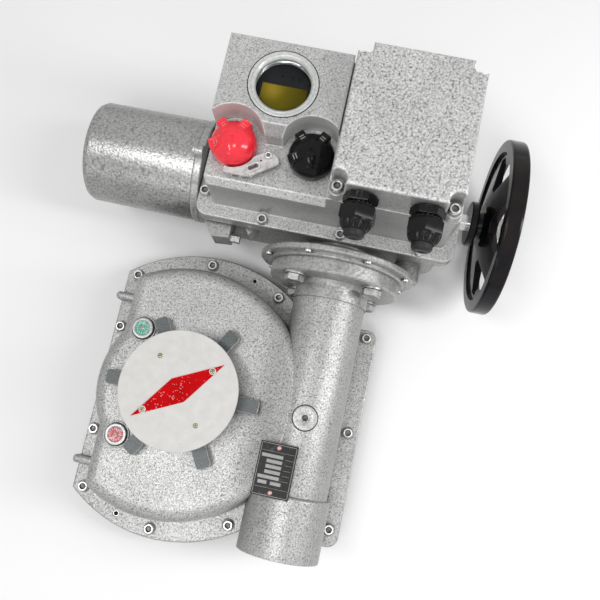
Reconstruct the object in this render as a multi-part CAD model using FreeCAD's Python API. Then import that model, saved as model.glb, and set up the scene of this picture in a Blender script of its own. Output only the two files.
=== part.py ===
import FreeCAD, Part
import math
import os

# Electric valve actuator: a quarter-turn worm gearbox with a multi-turn actuator head.
# Millimetres. Origin: centre of the valve flange face. +Z runs up the output shaft,
# +Y along the worm shaft towards the head, +X towards the handwheel.

# Fits between neighbouring pieces
running = 0.05
slip = 0.1
press = 0.02

# Quarter-turn gearbox casting
case_wall = 7.0
rim_low = 27.0
rim_high = 37.0
dome_radius = 118.5
rim_land = 25.0
rim_radius = dome_radius + rim_land
rim_centre_x = -8.0
dome_chord_x = -72.0
rim_chord_x = dome_chord_x - 26.0
rim_edge = 1.2
dome_top = 97.0
dome_corner = 10.0
crest_round = 12.0
foot_round = 5.0
bulge_radius = 85.0
centre_distance = 114.5
worm_z = 80.0
tube_radius = 34.5
tail_radius = 38.0
tail_step_y = -69.0
tail_end_y = -dome_radius - 5.5
saddle_half = 22.0
strip_x = centre_distance + 54.0
strip_low_y = 3.5 - dome_radius
strip_high_y = dome_radius - 17.5
strip_corner = 11.0
hub_radius = 50.0
hub_top = dome_top + 11.0
rib_count = 6
rib_reach = 71.5
rib_width = 13.5
lug_y = 84.0
lug_reach = 5.0
lug_width = 8.0
marker_boss_radius = 12.0
marker_boss_height = 1.5
marker_x = -51.6
marker_y = 50.0

# Rim fasteners
rim_screw_inset = 9.4
rim_screw_angles = [58.8, 92.1, 125.8]
chord_screw_inset = 7.0
chord_screw_y = 52.7
strip_screw_inset = 10.8
strip_screw_ys = [strip_low_y + 17.0, -4.3, strip_high_y - 8.9]
rim_screw_length = 22.0
dowel_angles = [72.2, 252.1]
dowel_radius = 3.0
dowel_bore = 2.1
dowel_depth = 10.0

# Valve flange underneath, four tapped holes
valve_flange_radius = 87.5
valve_flange_thick = 14.0
valve_bolt_circle = 70.0
valve_bolt_hole = 7.0
valve_bolt_depth = 22.0
gasket_thick = 1.0
base_rib_count = 8
base_rib_width = 9.0

# Worm and quarter-turn wheel
tooth_module = 4.75
wheel_teeth = 40
pressure_angle = math.radians(20)
pitch_radius = tooth_module * wheel_teeth / 2
worm_radius = centre_distance - pitch_radius
worm_turns = 7
worm_core = 12.8
worm_half = 44.0
mesh_backlash = 1.0
wheel_width = 18.0
segment_teeth = 15
segment_first = -11.5
wheel_hub = 46.0
wheel_journal = 38.0
bush_wall = 4.0
spline_bore = 31.0
spline_count = 8
spline_height = 2.5
spline_width = 8.0
web_thick = 11.0
stem_radius = 22.5
stem_key_width = 14.0
stem_key_height = 3.8
stem_bush_top = 92.0
shaft_radius = 14.0
shaft_tip_radius = 12.0
bearing_radius = 27.0
bearing_width = 16.0
rear_bearing_y = tail_end_y + 16.0
front_bearing_y = 68.0
tail_cap_thick = 8.0

# Position cap, disc and pointer on the output
cap_radius = 52.0
cap_low = hub_top + 0.6
cap_high = cap_low + 16.4
disc_radius = 53.7
disc_thick = 2.0
pointer_angle = 40.4
pointer_half_length = 46.4
pointer_half_width = 11.7
pointer_thick = 0.8
pointer_screw_reach = 34.8
disc_screw_reach = 35.0
marker_radius = 10.0
marker_thick = 3.0

# Input flange and its bolts
input_flange_y = rim_radius - 15.7
input_flange_thick = 13.0
input_flange_radius = 62.5
input_neck_radius = 35.5
input_neck_y = input_flange_y - 16.8
input_bolt_circle = input_flange_radius - 11.5
input_bolt_radius = 5.0
input_bolt_head = 16.0
input_bolt_length = 30.0
input_spigot_radius = 35.0
input_spigot = 3.0
washer_radius = 10.0
washer_thick = 2.0
plug_radius = 11.0
plug_key = 8.0

# Gearcase of the head; everything on the head follows its mounting face
head_y = input_flange_y + input_flange_thick
head_flange_radius = 75.0
head_flange_thick = 9.0
head_step = 3.5
head_step_width = 8.0
head_neck_radius = 28.5
head_cone_radius = 60.0
head_screw_circle = 70.5
head_screw_count = 8
head_screw_radius = 3.2
head_screw_thread = 2.5
head_lobe_radius = 13.0
head_lobe = (183.0, 60.0)
case_left_x = -28.0
case_right_x = 211.0
case_front_y = head_y + 29.2
case_back_y = head_y + 165.2
case_floor_z = 28.0
case_corner = 14.0
case_floor_round = 9.0
lip_left_x = case_left_x + 0.3
lip_right_x = case_right_x + 8.0
lip_front_y = case_front_y - 4.7
lip_back_y = case_back_y + 11.0
lip_corner = 11.0
lip_edge = 1.0
lip_thick = 10.0
split_z = 109.0
control_flange_thick = 7.0
control_foot_z = split_z + control_flange_thick
head_wall = 7.0
drive_y = head_y + 78.2
shaft_end_y = head_y + 51.2
sleeve_radius = 20.0
sleeve_end_y = drive_y + 43.0
crown_teeth = 30
pinion_teeth = 10
crown_module = 2.5
crown_face = 9.0
crown_thick = 9.0
crown_pitch_radius = crown_module * crown_teeth / 2
crown_addendum = 0.7 * crown_module
crown_play = 0.3
tip_angle = math.radians(24)
rear_bush_radius = 16.0
bracket_y = drive_y + 21.0
bracket_thick = 14.0
bracket_radius = 24.0
drain_y = head_y + 17.2
drain_z = 80.0
drain_flat = 9.5
drain_thread = 4.0

# Motor
motor_radius = 49.0
motor_root_radius = 50.0
motor_root_x = case_left_x - 8.0
motor_end_x = -145.3
motor_wall = 5.0
motor_ring_radius = 51.0
motor_ear_radius = 5.5
motor_ear_reach = 54.5
stator_bore = 26.0
stator_slots = 12
rotor_radius = 25.0
rotor_length = 64.0
rotor_shaft_radius = 9.0
motor_bearing_radius = 15.0
motor_bearing_width = 9.0
motor_pinion_x = 50.0

# Handwheel
wheel_plane_x = 249.8
wheel_rim_width = 15.4
wheel_rim_radius = 85.6
wheel_rim_depth = 12.0
hand_shaft_radius = 8.0
hand_hub_radius = 22.0
hand_hub_x = 231.0
hand_hub_flange = 7.0
hand_neck_radius = 13.0
hand_nut_flat = 19.0
hand_nut = 8.0
window_count = 5
window_inner = 36.0
window_outer_gap = 5.0
window_half_in = 8.0
window_half_out = 24.0
window_cusp = 5.0
wheel_web_thick = 5.0

# Control housing with its stepped panel
wall_foot_y = head_y + 37.0
wall_slope = 0.025
body_left_x = case_left_x + 14.0
body_right_x = case_right_x - 2.0
body_back_y = case_back_y
body_corner = 6.0
panel_right_x = 95.0
window_face = 198.0
knob_face = 170.0
panel_bevel = 7.0
nose_y = head_y + 83.2
nose_top_y = nose_y + 8.0
scallop_radius = 27.5
knob_places = [(6.7, head_y + 74.4), (75.0, head_y + 76.3)]
box_seat = 186.0
cover_wall = 5.0
lip_screw_inset = 5.4
lip_screw_xs = [37.3, 111.5, 185.7]
lip_screw_backs = [22.2, 84.7, 134.7]
wall_dimple_radius = 8.2
wall_dimple = 9.0

# Window and display
window_x = 40.1
window_y = head_y + 127.0
window_ring_radius = 27.5
window_clear_radius = 21.5
window_depth = 14.0
window_ledge = 2.0
glass_thick = 5.0
glass_drop = 4.0
display_thick = 6.0
display_well = (40.0, 27.0, 1.0)
board_thick = 1.6

# Selector knobs
knob_radius = 19.8
knob_skirt = 7.0
knob_height = 22.0
knob_spindle = 5.0
knob_gap = 0.3
knob_pad_turns = [-29.0, 43.0, 115.0]
knob_pad_width = 8.4
knob_pad_length = 9.8
knob_pad_top = 19.6

# Padlock plate beside the red knob, laid out from the knob's centre
lock_outline = [(-3.2, -26.5), (18.8, -26.6), (42.5, -10.6), (40.2, -4.3), (31.3, -0.7),
                (13.3, -12.7), (-3.7, -19.7)]
lock_screw_offset = (32.0, -4.8)
lock_slot_offset = (21.3, -17.4)
lock_slot_size = (9.0, 3.4)
lock_turn = 34.0
lock_high = 8.0
lock_thick = 3.0
lock_screw_length = 11.0
lock_foot_xs = [(-1.7, 4.3), (9.3, 15.3)]
lock_foot_y = (-25.5, -21.0)

# Terminal box on top
box_left_x = panel_right_x + 2.7
box_right_x = body_right_x - 3.9
box_front_y = wall_foot_y + 4.5
box_back_y = case_back_y + 0.1
box_top = 224.0
box_draft = 1.5
box_edge = 2.0
box_wall = 4.0
pocket_radius = 7.5
pocket_share = 0.3684
pocket_floor = box_seat + pocket_share * (box_top - box_seat)
box_ear_radius = 7.0
box_screw_inset_x = 5.3
box_screw_inset_y = 3.5
box_gasket = 0.6
box_screw_length = 22.0
terminal_pitch = 9.0
terminal_count = 8
terminal_plate = 3.0
terminal_inset = 14.5
terminal_high = (box_top - box_seat) / 2 - 1.0
terminal_deep = 28.0

# Cable glands
gland_xs = [124.0, 179.0]
gland_z = (box_seat + box_top) / 2
gland_collar_flat = 25.5
gland_collar = 8.0
gland_nut_flat = 28.0
gland_nut = 16.0
gland_taper = 6.0
gland_thread = 10.0
gland_thread_radius = 8.2
gland_plug_radius = 9.5
gland_plug = 6.0
gland_plug_depth = 10.2

# Nameplate, laid out from its upper left corner, on a cast pad
plate_corner = (81.3, -26.3)
plate_size = (33.5, 46.7)
plate_thick = 1.0
plate_z = worm_z + tail_radius + 0.4
rivet_inset = 4.0
rivet_radius = 1.2

# Cap screws
screw_head_radius = 5.0
screw_head = 6.0
screw_radius = 3.0
screw_hole = screw_radius + 0.3
socket_flat = 5.0
socket_depth = 3.0
cover_screw_length = 10.0

X = FreeCAD.Vector(1, 0, 0)
Y = FreeCAD.Vector(0, 1, 0)
Z = FreeCAD.Vector(0, 0, 1)


def point(x, y, z=0.0):
    return FreeCAD.Vector(x, y, z)


def rod(radius, start, end, axis, at=(0.0, 0.0)):
    """Cylinder along an axis; at gives its other two coordinates in x, y, z order."""
    if axis == X:
        base = point(start, at[0], at[1])
    elif axis == Y:
        base = point(at[0], start, at[1])
    else:
        base = point(at[0], at[1], start)
    return Part.makeCylinder(radius, end - start, base, axis)


def tube(outer, inner, start, end, axis, at=(0.0, 0.0)):
    return rod(outer, start, end, axis, at).cut(rod(inner, start, end, axis, at))


def block(x0, x1, y0, y1, z0, z1):
    return Part.makeBox(x1 - x0, y1 - y0, z1 - z0, point(x0, y0, z0))


def prism(points, low, high):
    wire = Part.makePolygon([point(x, y, low) for x, y in points] + [point(*points[0], low)])
    return Part.Face(wire).extrude(Z * (high - low))


def hexagon(flat, low, high, turn=0.0):
    corner = flat / math.sqrt(3)
    angles = [math.radians(60 * i + turn) for i in range(6)]
    return prism([(corner * math.cos(a), corner * math.sin(a)) for a in angles], low, high)


def turned(profile, axis, centre):
    """Solid of revolution; profile points are (radius, distance along the axis)."""
    if axis == X:
        place = [point(centre[0] + d, centre[1], centre[2] + r) for r, d in profile]
    elif axis == Y:
        place = [point(centre[0], centre[1] + d, centre[2] + r) for r, d in profile]
    else:
        place = [point(centre[0] + r, centre[1], centre[2] + d) for r, d in profile]
    face = Part.Face(Part.makePolygon(place + [place[0]]))
    solid = face.revolve(point(*centre), axis, 360)
    if solid.Volume < 0:
        solid.reverse()
    return solid


def moved(shape, x=0.0, y=0.0, z=0.0):
    copy = shape.copy()
    copy.translate(point(x, y, z))
    return copy


def spun(shape, degrees, axis=Z, centre=(0, 0, 0)):
    copy = shape.copy()
    copy.rotate(point(*centre), axis, degrees)
    return copy


def edges_where(shape, test):
    return [e for e in shape.Edges if test(e.BoundBox)]


def rounded(shape, radius, test):
    return shape.makeFillet(radius, edges_where(shape, test))


def level(z):
    return lambda b: abs(b.ZMin - z) < 0.01 and abs(b.ZMax - z) < 0.01


def upright(box):
    return box.XLength < 0.01 and box.YLength < 0.01


def rounded_block(x0, x1, y0, y1, z0, z1, corner):
    return rounded(block(x0, x1, y0, y1, z0, z1), corner, upright)


def group(solids):
    return Part.makeCompound(solids)


def save(name, shape):
    shape.exportStep("parts/" + name + ".step")


def cap_screw(x, y, seat, length):
    """Hexagon-socket cap screw standing head up on a seat."""
    head = Part.makeCylinder(screw_head_radius, screw_head, point(x, y, seat))
    shank = Part.makeCylinder(screw_radius, length, point(x, y, seat - length))
    top = seat + screw_head
    socket = moved(hexagon(socket_flat, top - socket_depth, top), x, y)
    return head.fuse(shank).cut(socket)


def screw_holes(places, low, high, radius):
    return [Part.makeCylinder(radius, high - low, point(x, y, low)) for x, y in places]


# Gearbox casting

def on_rim(degrees):
    """Point on the screw circle of the round rim."""
    reach = rim_radius - rim_screw_inset
    a = math.radians(degrees)
    return (rim_centre_x + reach * math.cos(a), reach * math.sin(a))


def rim_screw_places():
    places = [on_rim(side * a) for side in (1, -1) for a in rim_screw_angles]
    places += [(rim_chord_x + chord_screw_inset, side * chord_screw_y) for side in (1, -1)]
    return places + [(strip_x - strip_screw_inset, y) for y in strip_screw_ys]


def dowel_places():
    return [on_rim(a) for a in dowel_angles]


def rim_plan(low, high):
    """Round rim cut off on the left, with the straight strip beside the worm tube."""
    disc = Part.makeCylinder(rim_radius, high - low, point(rim_centre_x, 0, low))
    left = block(rim_chord_x - rim_radius, rim_chord_x, -rim_radius, rim_radius, low, high)
    right = block(centre_distance, centre_distance + rim_radius, -rim_radius, rim_radius, low, high)
    strip_left = centre_distance - tail_radius + rim_edge
    strip = block(strip_left, strip_x, strip_low_y, strip_high_y, low, high)
    strip = rounded(strip, strip_corner, lambda b: upright(b) and b.XMin > strip_x - 1)
    tail = block(centre_distance - tail_radius, centre_distance + tail_radius, tail_end_y,
                 tail_step_y, low, high)
    return disc.cut([left, right]).fuse([strip, tail]).removeSplitter()


def dome_plan(inset, low, high):
    """D-shaped wheel case: a round with a straight left side and a bulge round the hub."""
    radius = dome_radius - inset
    disc = Part.makeCylinder(radius, high - low, point(rim_centre_x, 0, low))
    chord = dome_chord_x + inset
    disc = disc.cut(block(chord - radius, chord, -radius, radius, low, high))
    disc = rounded(disc, dome_corner, lambda b: upright(b) and b.XMax < chord + 1)
    bulge = Part.makeCylinder(bulge_radius - inset, high - low, point(0, 0, low))
    return disc.fuse(bulge).removeSplitter()


def dome_shell():
    solid = dome_plan(0.0, rim_low, dome_top)
    return rounded(solid, crest_round, level(dome_top))


def worm_case():
    """Saddle of the worm: the tube, its side walls down to the rim and the wider tail."""
    a = centre_distance
    run = rod(tube_radius, tail_step_y, input_neck_y, Y, (a, worm_z))
    run = run.fuse(block(a - tube_radius, a + tube_radius, tail_step_y, strip_high_y, rim_low, worm_z))
    tail = rod(tail_radius, tail_end_y, tail_step_y, Y, (a, worm_z))
    tail = tail.fuse(block(a - tail_radius, a + tail_radius, tail_end_y, tail_step_y, rim_low, worm_z))
    tail = tail.removeSplitter()
    tail = rounded(tail, 2.5, lambda b: b.YLength < 0.01 and b.YMax > tail_step_y - 0.1
                   and b.ZMax > worm_z + 1)
    return run.removeSplitter().fuse(tail)


def hub_with_ribs():
    low = dome_top - crest_round
    solids = [Part.makeCylinder(hub_radius, hub_top - low, point(0, 0, low))]
    for i in range(rib_count):
        rib = block(wheel_journal + bush_wall, rib_reach, -rib_width / 2, rib_width / 2, low, hub_top)
        rib = rounded(rib, 3.0, lambda b: upright(b) and b.XMin > rib_reach - 1)
        solids.append(spun(rib, i * 360 / rib_count))
    return solids


def jacking_lugs():
    lugs = []
    end = rim_chord_x - lug_reach
    for side in (1, -1):
        lug = block(end, dome_chord_x + case_wall, side * lug_y - lug_width / 2,
                    side * lug_y + lug_width / 2, rim_low, rim_high + lug_width)
        lugs.append(rounded(lug, 3.5, lambda b: b.XMax < end + 0.1 or
                            (b.XLength > 10 and b.ZMin > rim_high)))
    return lugs


def saddle_room(low, high):
    """Space beside and under the worm."""
    return block(centre_distance - saddle_half, centre_distance + saddle_half,
                 rear_bearing_y + bearing_width, front_bearing_y, low, high)


def case_cavity():
    """Room for the wheel segment, the output journals and the worm."""
    room = dome_plan(case_wall, rim_low, dome_top - case_wall)
    bore = rod(bearing_radius, tail_end_y, input_neck_y, Y, (centre_distance, worm_z))
    journal = Part.makeCylinder(wheel_journal + bush_wall, hub_top)
    return [room, bore, saddle_room(rim_low, worm_z), journal]


def gearbox_housing():
    """Upper casting: rim, domed wheel case with hub and ribs, worm tube and its wider tail."""
    rim = rounded(rim_plan(rim_low, rim_high), rim_edge, level(rim_high))
    body = rim.fuse(dome_shell())
    inner = level(rim_high)
    reach = rim_radius - rim_land / 2
    foot = [e for e in body.Edges if inner(e.BoundBox) and e.BoundBox.XMax < 0
            and max(math.hypot(v.X - rim_centre_x, v.Y) for v in e.Vertexes) < reach]
    body = body.makeFillet(foot_round, foot)
    body = body.fuse([worm_case(), nameplate_pad()] + hub_with_ribs() + jacking_lugs() + marker_bosses())
    body = body.cut(case_cavity() + screw_holes(rim_screw_places(), rim_low, rim_high, screw_hole)
                    + screw_holes(dowel_places(), rim_low, rim_high, dowel_radius))
    high = worm_z + tail_radius
    plug_hole = rod(plug_radius - 1.0, worm_z, high, Z, (centre_distance, 0))
    spot_face = rod(plug_radius + slip, worm_z + tube_radius - 1.2, high, Z, (centre_distance, 0))
    return body.cut([plug_hole, spot_face]).removeSplitter()


def marker_bosses():
    low = dome_top - crest_round
    return [Part.makeCylinder(marker_boss_radius, crest_round + marker_boss_height,
                              point(marker_x, side * marker_y, low)) for side in (1, -1)]


def base_plate():
    """Lower cover that carries the valve flange, with ribs from the flange to the rim."""
    high = rim_low - gasket_thick
    plate = rim_plan(valve_flange_thick, high)
    boss = Part.makeCylinder(valve_flange_radius, valve_flange_thick)
    ribs = []
    for i in range(base_rib_count):
        rib = block(valve_flange_radius - 5, rim_radius - 32, -base_rib_width / 2, base_rib_width / 2,
                    valve_flange_thick / 3, valve_flange_thick)
        ribs.append(spun(rib, (i + 0.5) * 360 / base_rib_count))
    body = plate.fuse([boss] + ribs).common(rim_plan(0, high))
    body = body.cut([Part.makeCylinder(wheel_journal + bush_wall, high)]
                    + screw_holes(rim_screw_places(), rim_high - rim_screw_length, high, screw_radius)
                    + screw_holes(dowel_places(), rim_low - dowel_depth, high, dowel_radius))
    reach = valve_bolt_circle / math.sqrt(2)
    corners = [(sx * reach, sy * reach) for sx in (1, -1) for sy in (1, -1)]
    return body.cut(screw_holes(corners, 0, valve_bolt_depth, valve_bolt_hole)).removeSplitter()


def base_gasket():
    low = rim_low - gasket_thick
    hollow = [dome_plan(case_wall, low, rim_low), saddle_room(low, rim_low)]
    holes = screw_holes(rim_screw_places(), low, rim_low, screw_hole)
    pins = screw_holes(dowel_places(), low, rim_low, dowel_radius)
    return rim_plan(low, rim_low).cut(hollow + holes + pins)


def dowel_pins():
    low = rim_low - dowel_depth
    length = rim_high - 1.0 - low
    return group([tube(dowel_radius - press, dowel_bore, low, low + length, Z, at) for at in dowel_places()])


# Worm and wheel

def helical_thread(radius, pitch, turns, tip, root, tip_half, root_half):
    """Trapezoid thread round the Y axis, centred on y = 0 on its -X side."""
    height = pitch * turns
    helix = Part.makeHelix(pitch, height, radius)
    profile = Part.makePolygon([point(root, 0, -root_half), point(tip, 0, -tip_half),
                                point(tip, 0, tip_half), point(root, 0, root_half),
                                point(root, 0, -root_half)])
    thread = Part.Wire(helix).makePipeShell([profile], True, True)
    thread.rotate(point(0, 0, 0), X, -90)
    return thread, height


def worm_shape():
    pitch = math.pi * tooth_module
    half = pitch / 4 - mesh_backlash / 4
    slope = math.tan(pressure_angle)
    root = worm_core - 1.0
    thread, height = helical_thread(worm_radius, pitch, worm_turns, worm_radius + tooth_module, root,
                                    half - tooth_module * slope, half + (worm_radius - root) * slope)
    thread.translate(point(0, -height / 2, 0))
    core = rod(worm_core, rear_bearing_y + bearing_width, front_bearing_y, Y)
    return thread, core


def worm():
    """One-start worm on its shaft, with a journal each side and a keyed tip for the head."""
    thread, core = worm_shape()
    shoulder = input_flange_y - shaft_radius / 2
    shaft = [rod(shaft_radius, rear_bearing_y - 6, rear_bearing_y + bearing_width + 2, Y),
             rod(shaft_radius, front_bearing_y - 2, shoulder - 1, Y),
             rod(shaft_tip_radius, shoulder - 2, shaft_end_y, Y)]
    trim = rod(worm_radius + 2 * tooth_module, -worm_half, worm_half, Y)
    body = core.fuse(shaft).fuse(thread.common(trim)).removeSplitter()
    key = block(-2.5, 2.5, shaft_end_y - 32, shaft_end_y - 4, shaft_tip_radius - 1, shaft_tip_radius + 2)
    return moved(body.fuse(key), centre_distance, 0, worm_z)


def tooth_outline(half_tip, half_root, tip, root, angle):
    """Corner points of one straight-flanked tooth, pointing along an angle."""
    corners = [(root, -half_root), (tip, -half_tip), (tip, half_tip), (root, half_root)]
    return [(r * math.cos(angle) - s * math.sin(angle), r * math.sin(angle) + s * math.cos(angle))
            for r, s in corners]


def segment_outline(turn):
    """Outline of the segment: its teeth, then the two arms back to the hub."""
    half = math.pi * tooth_module / 4 - mesh_backlash / 4
    slope = math.tan(pressure_angle)
    tip = pitch_radius + 0.85 * tooth_module
    root = pitch_radius - 1.25 * tooth_module
    step = 2 * math.pi / wheel_teeth
    outline = []
    for i in range(segment_teeth):
        outline += tooth_outline(half - 1.1 * tooth_module * slope, half + 1.15 * tooth_module * slope,
                                 tip, root, (segment_first + i) * step + turn)
    first = (segment_first - 0.6) * step + turn
    last = (segment_first + segment_teeth - 0.4) * step + turn
    inner = wheel_hub - 6
    ends = [(root, last), (inner, last), (inner / 5, (first + last) / 2), (inner, first), (root, first)]
    return outline + [(r * math.cos(a), r * math.sin(a)) for r, a in ends]


def toothed_segment(low, high):
    """Helical teeth of the quarter-turn wheel; the outline is lofted with the worm's lead."""
    lead = tooth_module / (2 * worm_radius)
    twist = lead * (high - low) / pitch_radius
    wires = []
    for z, turn in ((low, -twist / 2), (high, twist / 2)):
        outline = segment_outline(turn)
        wires.append(Part.makePolygon([point(x, y, z) for x, y in outline + [outline[0]]]))
    return Part.makeLoft(wires, True, True)


def spline_keys(radius, height, width, low, high):
    keys = []
    for i in range(spline_count):
        key = block(radius - 1.0, radius + height, -width / 2, width / 2, low, high)
        keys.append(spun(key, (i + 0.5) * 360 / spline_count))
    return keys


def worm_wheel():
    """Quarter-turn wheel: toothed segment, thinned web, hub and two journals."""
    low = worm_z - wheel_width / 2
    segment = toothed_segment(low, low + wheel_width)
    deep = (wheel_width - web_thick) / 2
    groove = tube(pitch_radius - 2.5 * tooth_module, wheel_hub + 6, low, low + deep, Z)
    segment = segment.cut([groove, moved(groove, 0, 0, deep + web_thick)])
    hub = Part.makeCylinder(wheel_hub, wheel_width, point(0, 0, low))
    journal = Part.makeCylinder(wheel_journal, cap_low - 1.0, point(0, 0, 1.0))
    body = segment.fuse([hub, journal])
    body = body.cut([Part.makeCylinder(spline_bore, cap_low)]
                    + spline_keys(spline_bore, spline_height, spline_width, 0, stem_bush_top + slip))
    return body.removeSplitter()


def stem_bush():
    """Removable bush: splined outside to the wheel, bored and keyed for the valve stem."""
    body = Part.makeCylinder(spline_bore - slip, stem_bush_top - 1.0, point(0, 0, 1.0))
    body = body.fuse(spline_keys(spline_bore - 1, spline_height + 1 - slip, spline_width - 2 * slip,
                                 1.0, stem_bush_top))
    keyway = block(0, stem_radius + stem_key_height, -stem_key_width / 2, stem_key_width / 2,
                   0, stem_bush_top)
    return body.cut([Part.makeCylinder(stem_radius, stem_bush_top), keyway]).removeSplitter()


def wheel_bush(low, high):
    return tube(wheel_journal + bush_wall - press, wheel_journal + running, low, high, Z)


def worm_bearings():
    """Two sealed bearings; grooves in each face mark the inner ring and the outer ring."""
    rings = []
    for y in (rear_bearing_y, front_bearing_y):
        ring = tube(bearing_radius - press, shaft_radius + running, y, y + bearing_width, Y,
                    (centre_distance, worm_z))
        grooves = [tube(bearing_radius - 4, shaft_radius + 4, s, s + 1.2, Y, (centre_distance, worm_z))
                   for s in (y, y + bearing_width - 1.2)]
        rings.append(ring.cut(grooves))
    return group(rings)


def tail_cap():
    """Plug that closes the rear end of the worm bore, with a recess for a spanner."""
    y = tail_end_y
    profile = [(0, 4), (0, tail_cap_thick), (bearing_radius - press, tail_cap_thick),
               (bearing_radius - press, 1.5), (bearing_radius - 1.5, 0), (9, 0), (9, 4)]
    return turned(profile, Y, (centre_distance, y, worm_z))


def grease_plug():
    top = worm_z + tube_radius
    profile = [(0, -6), (0, 1.0), (plug_radius - 1.5, 1.0), (plug_radius, -0.5), (plug_radius, -1.2),
               (plug_radius - 1.0 - slip, -1.2), (plug_radius - 1.0 - slip, -6)]
    plug = turned(profile, Z, (centre_distance, 0, top))
    return plug.cut(moved(hexagon(plug_key, top - 4, top + 2), centre_distance))


# Position indicator

def indicator_holes():
    return (ends_of_line(disc_screw_reach, pointer_angle + 90)
            + ends_of_line(pointer_screw_reach, pointer_angle))


def position_cap():
    """Turned cap that carries the disc; its spigot sits in the bore of the wheel."""
    spigot = spline_bore - slip
    profile = [(0, cap_high), (cap_radius - 3, cap_high), (cap_radius, cap_high - 3), (cap_radius, cap_low),
               (spigot, cap_low), (spigot, stem_bush_top + 4), (spigot - 5, stem_bush_top + 4),
               (spigot - 5, cap_low + 6), (0, cap_low + 6)]
    return turned(profile, Z, (0, 0, 0)).cut(screw_holes(indicator_holes(), cap_high - 8, cap_high, 1.2))


def small_screw(x, y, seat, radius, length):
    """Raised-head screw with a crossed recess."""
    head = Part.makeCone(radius, radius * 0.6, 1.0, point(x, y, seat))
    shank = Part.makeCylinder(radius * 0.45, length, point(x, y, seat - length))
    slots = [block(x - radius * 0.5, x + radius * 0.5, y - 0.3, y + 0.3, seat + 0.4, seat + 2),
             block(x - 0.3, x + 0.3, y - radius * 0.5, y + radius * 0.5, seat + 0.4, seat + 2)]
    return head.fuse(shank).cut(slots)


def ends_of_line(reach, degrees):
    a = math.radians(degrees)
    return [(reach * math.cos(a), reach * math.sin(a)), (-reach * math.cos(a), -reach * math.sin(a))]


def position_disc():
    disc = Part.makeCylinder(disc_radius, disc_thick, point(0, 0, cap_high))
    disc = disc.makeChamfer(0.4, edges_where(disc, level(cap_high + disc_thick)))
    return disc.cut(screw_holes(indicator_holes(), cap_high, cap_high + disc_thick, 1.5))


def pointer():
    top = cap_high + disc_thick
    rhomb = prism([(-pointer_half_length, 0), (0, -pointer_half_width), (pointer_half_length, 0),
                   (0, pointer_half_width)], top, top + pointer_thick)
    holes = [(pointer_screw_reach, 0), (-pointer_screw_reach, 0)]
    return spun(rhomb.cut(screw_holes(holes, top, top + pointer_thick, 1.5)), pointer_angle)


def end_marker(side):
    """Round label disc on a casting boss, held by a small screw."""
    seat = dome_top + marker_boss_height
    disc = Part.makeCylinder(marker_radius, marker_thick, point(marker_x, side * marker_y, seat))
    disc = disc.makeChamfer(0.6, edges_where(disc, level(seat + marker_thick)))
    return disc.cut(Part.makeCylinder(1.5, marker_thick, point(marker_x, side * marker_y, seat)))


# Input flange and bolts

def bolt_places(reach):
    h = reach / math.sqrt(2)
    return [(centre_distance + sx * h, worm_z + sz * h) for sx in (1, -1) for sz in (1, -1)]


def input_flange():
    """Neck and round flange that join the worm tube to the head."""
    y0 = input_flange_y
    y1 = head_y
    plug = bearing_radius - press
    throat = front_bearing_y + bearing_width + 1
    seal = shaft_radius + 10
    bore = shaft_radius + 5
    profile = [(plug, throat), (plug, input_neck_y), (input_neck_radius, input_neck_y),
               (input_neck_radius, y0 - 4), (input_neck_radius + 3, y0), (input_flange_radius - 1.5, y0),
               (input_flange_radius, y0 + 1.5), (input_flange_radius, y1), (input_spigot_radius, y1),
               (input_spigot_radius, y1 + input_spigot), (seal, y1 + input_spigot), (seal, y0 - 8),
               (bore, y0 - 8), (bore, throat)]
    body = turned(profile, Y, (centre_distance, 0, worm_z))
    return body.cut([rod(input_bolt_radius + 0.5, y0 - 5, y1 + 1, Y, at)
                     for at in bolt_places(input_bolt_circle)])


def hex_bolt(x, z, seat):
    """Hexagon bolt pointing along +Y, its head in front of the seat."""
    head = hexagon(input_bolt_head, -6.4, 0, 30)
    dome = Part.makeCone(input_bolt_head * 0.47, input_bolt_head * 0.66, 2.5, point(0, 0, -6.4))
    dome = dome.fuse(Part.makeCylinder(input_bolt_head * 0.66, 3.9, point(0, 0, -3.9)))
    bolt = head.common(dome).fuse(Part.makeCylinder(input_bolt_radius, input_bolt_length))
    bolt.rotate(point(0, 0, 0), X, -90)
    return moved(bolt, x, seat, z)


def flange_bolts():
    return group([hex_bolt(x, z, input_flange_y - washer_thick) for x, z in bolt_places(input_bolt_circle)])


def flange_washers():
    y = input_flange_y
    return group([tube(washer_radius, input_bolt_radius + 0.3, y - washer_thick, y, Y, at)
                  for at in bolt_places(input_bolt_circle)])


def input_seal():
    y = input_flange_y
    return tube(shaft_radius + 10 - press, shaft_tip_radius + running, y - 7.8, y + 1, Y,
                (centre_distance, worm_z))


# Gearcase and drive train of the head

def lip_plan(low, high):
    return rounded_block(lip_left_x, lip_right_x, lip_front_y, lip_back_y, low, high, lip_corner)


def head_room(low, high):
    """Space inside the walls of the gearcase."""
    return rounded_block(case_left_x + head_wall, case_right_x - head_wall, case_front_y + head_wall,
                         case_back_y - head_wall, low, high, case_corner - head_wall)


def head_nose():
    """Stepped round flange, cone and neck towards the gearbox."""
    y0 = head_y
    y1 = y0 + head_flange_thick
    r = head_flange_radius
    inner = r - head_step_width
    profile = [(0, y0), (inner - 1, y0), (inner, y0 + 1), (inner, y0 + head_step), (r - 1, y0 + head_step),
               (r, y0 + head_step + 1), (r, y1 - 1), (r - 1, y1), (head_cone_radius, y1),
               (head_neck_radius, lip_front_y - 2.5), (head_neck_radius, case_front_y + head_wall),
               (0, case_front_y + head_wall)]
    return turned(profile, Y, (centre_distance, 0, worm_z))


def head_screw_places():
    step = 2 * math.pi / head_screw_count
    return [(centre_distance + head_screw_circle * math.cos((i + 0.5) * step),
             worm_z + head_screw_circle * math.sin((i + 0.5) * step)) for i in range(head_screw_count)]


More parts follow.
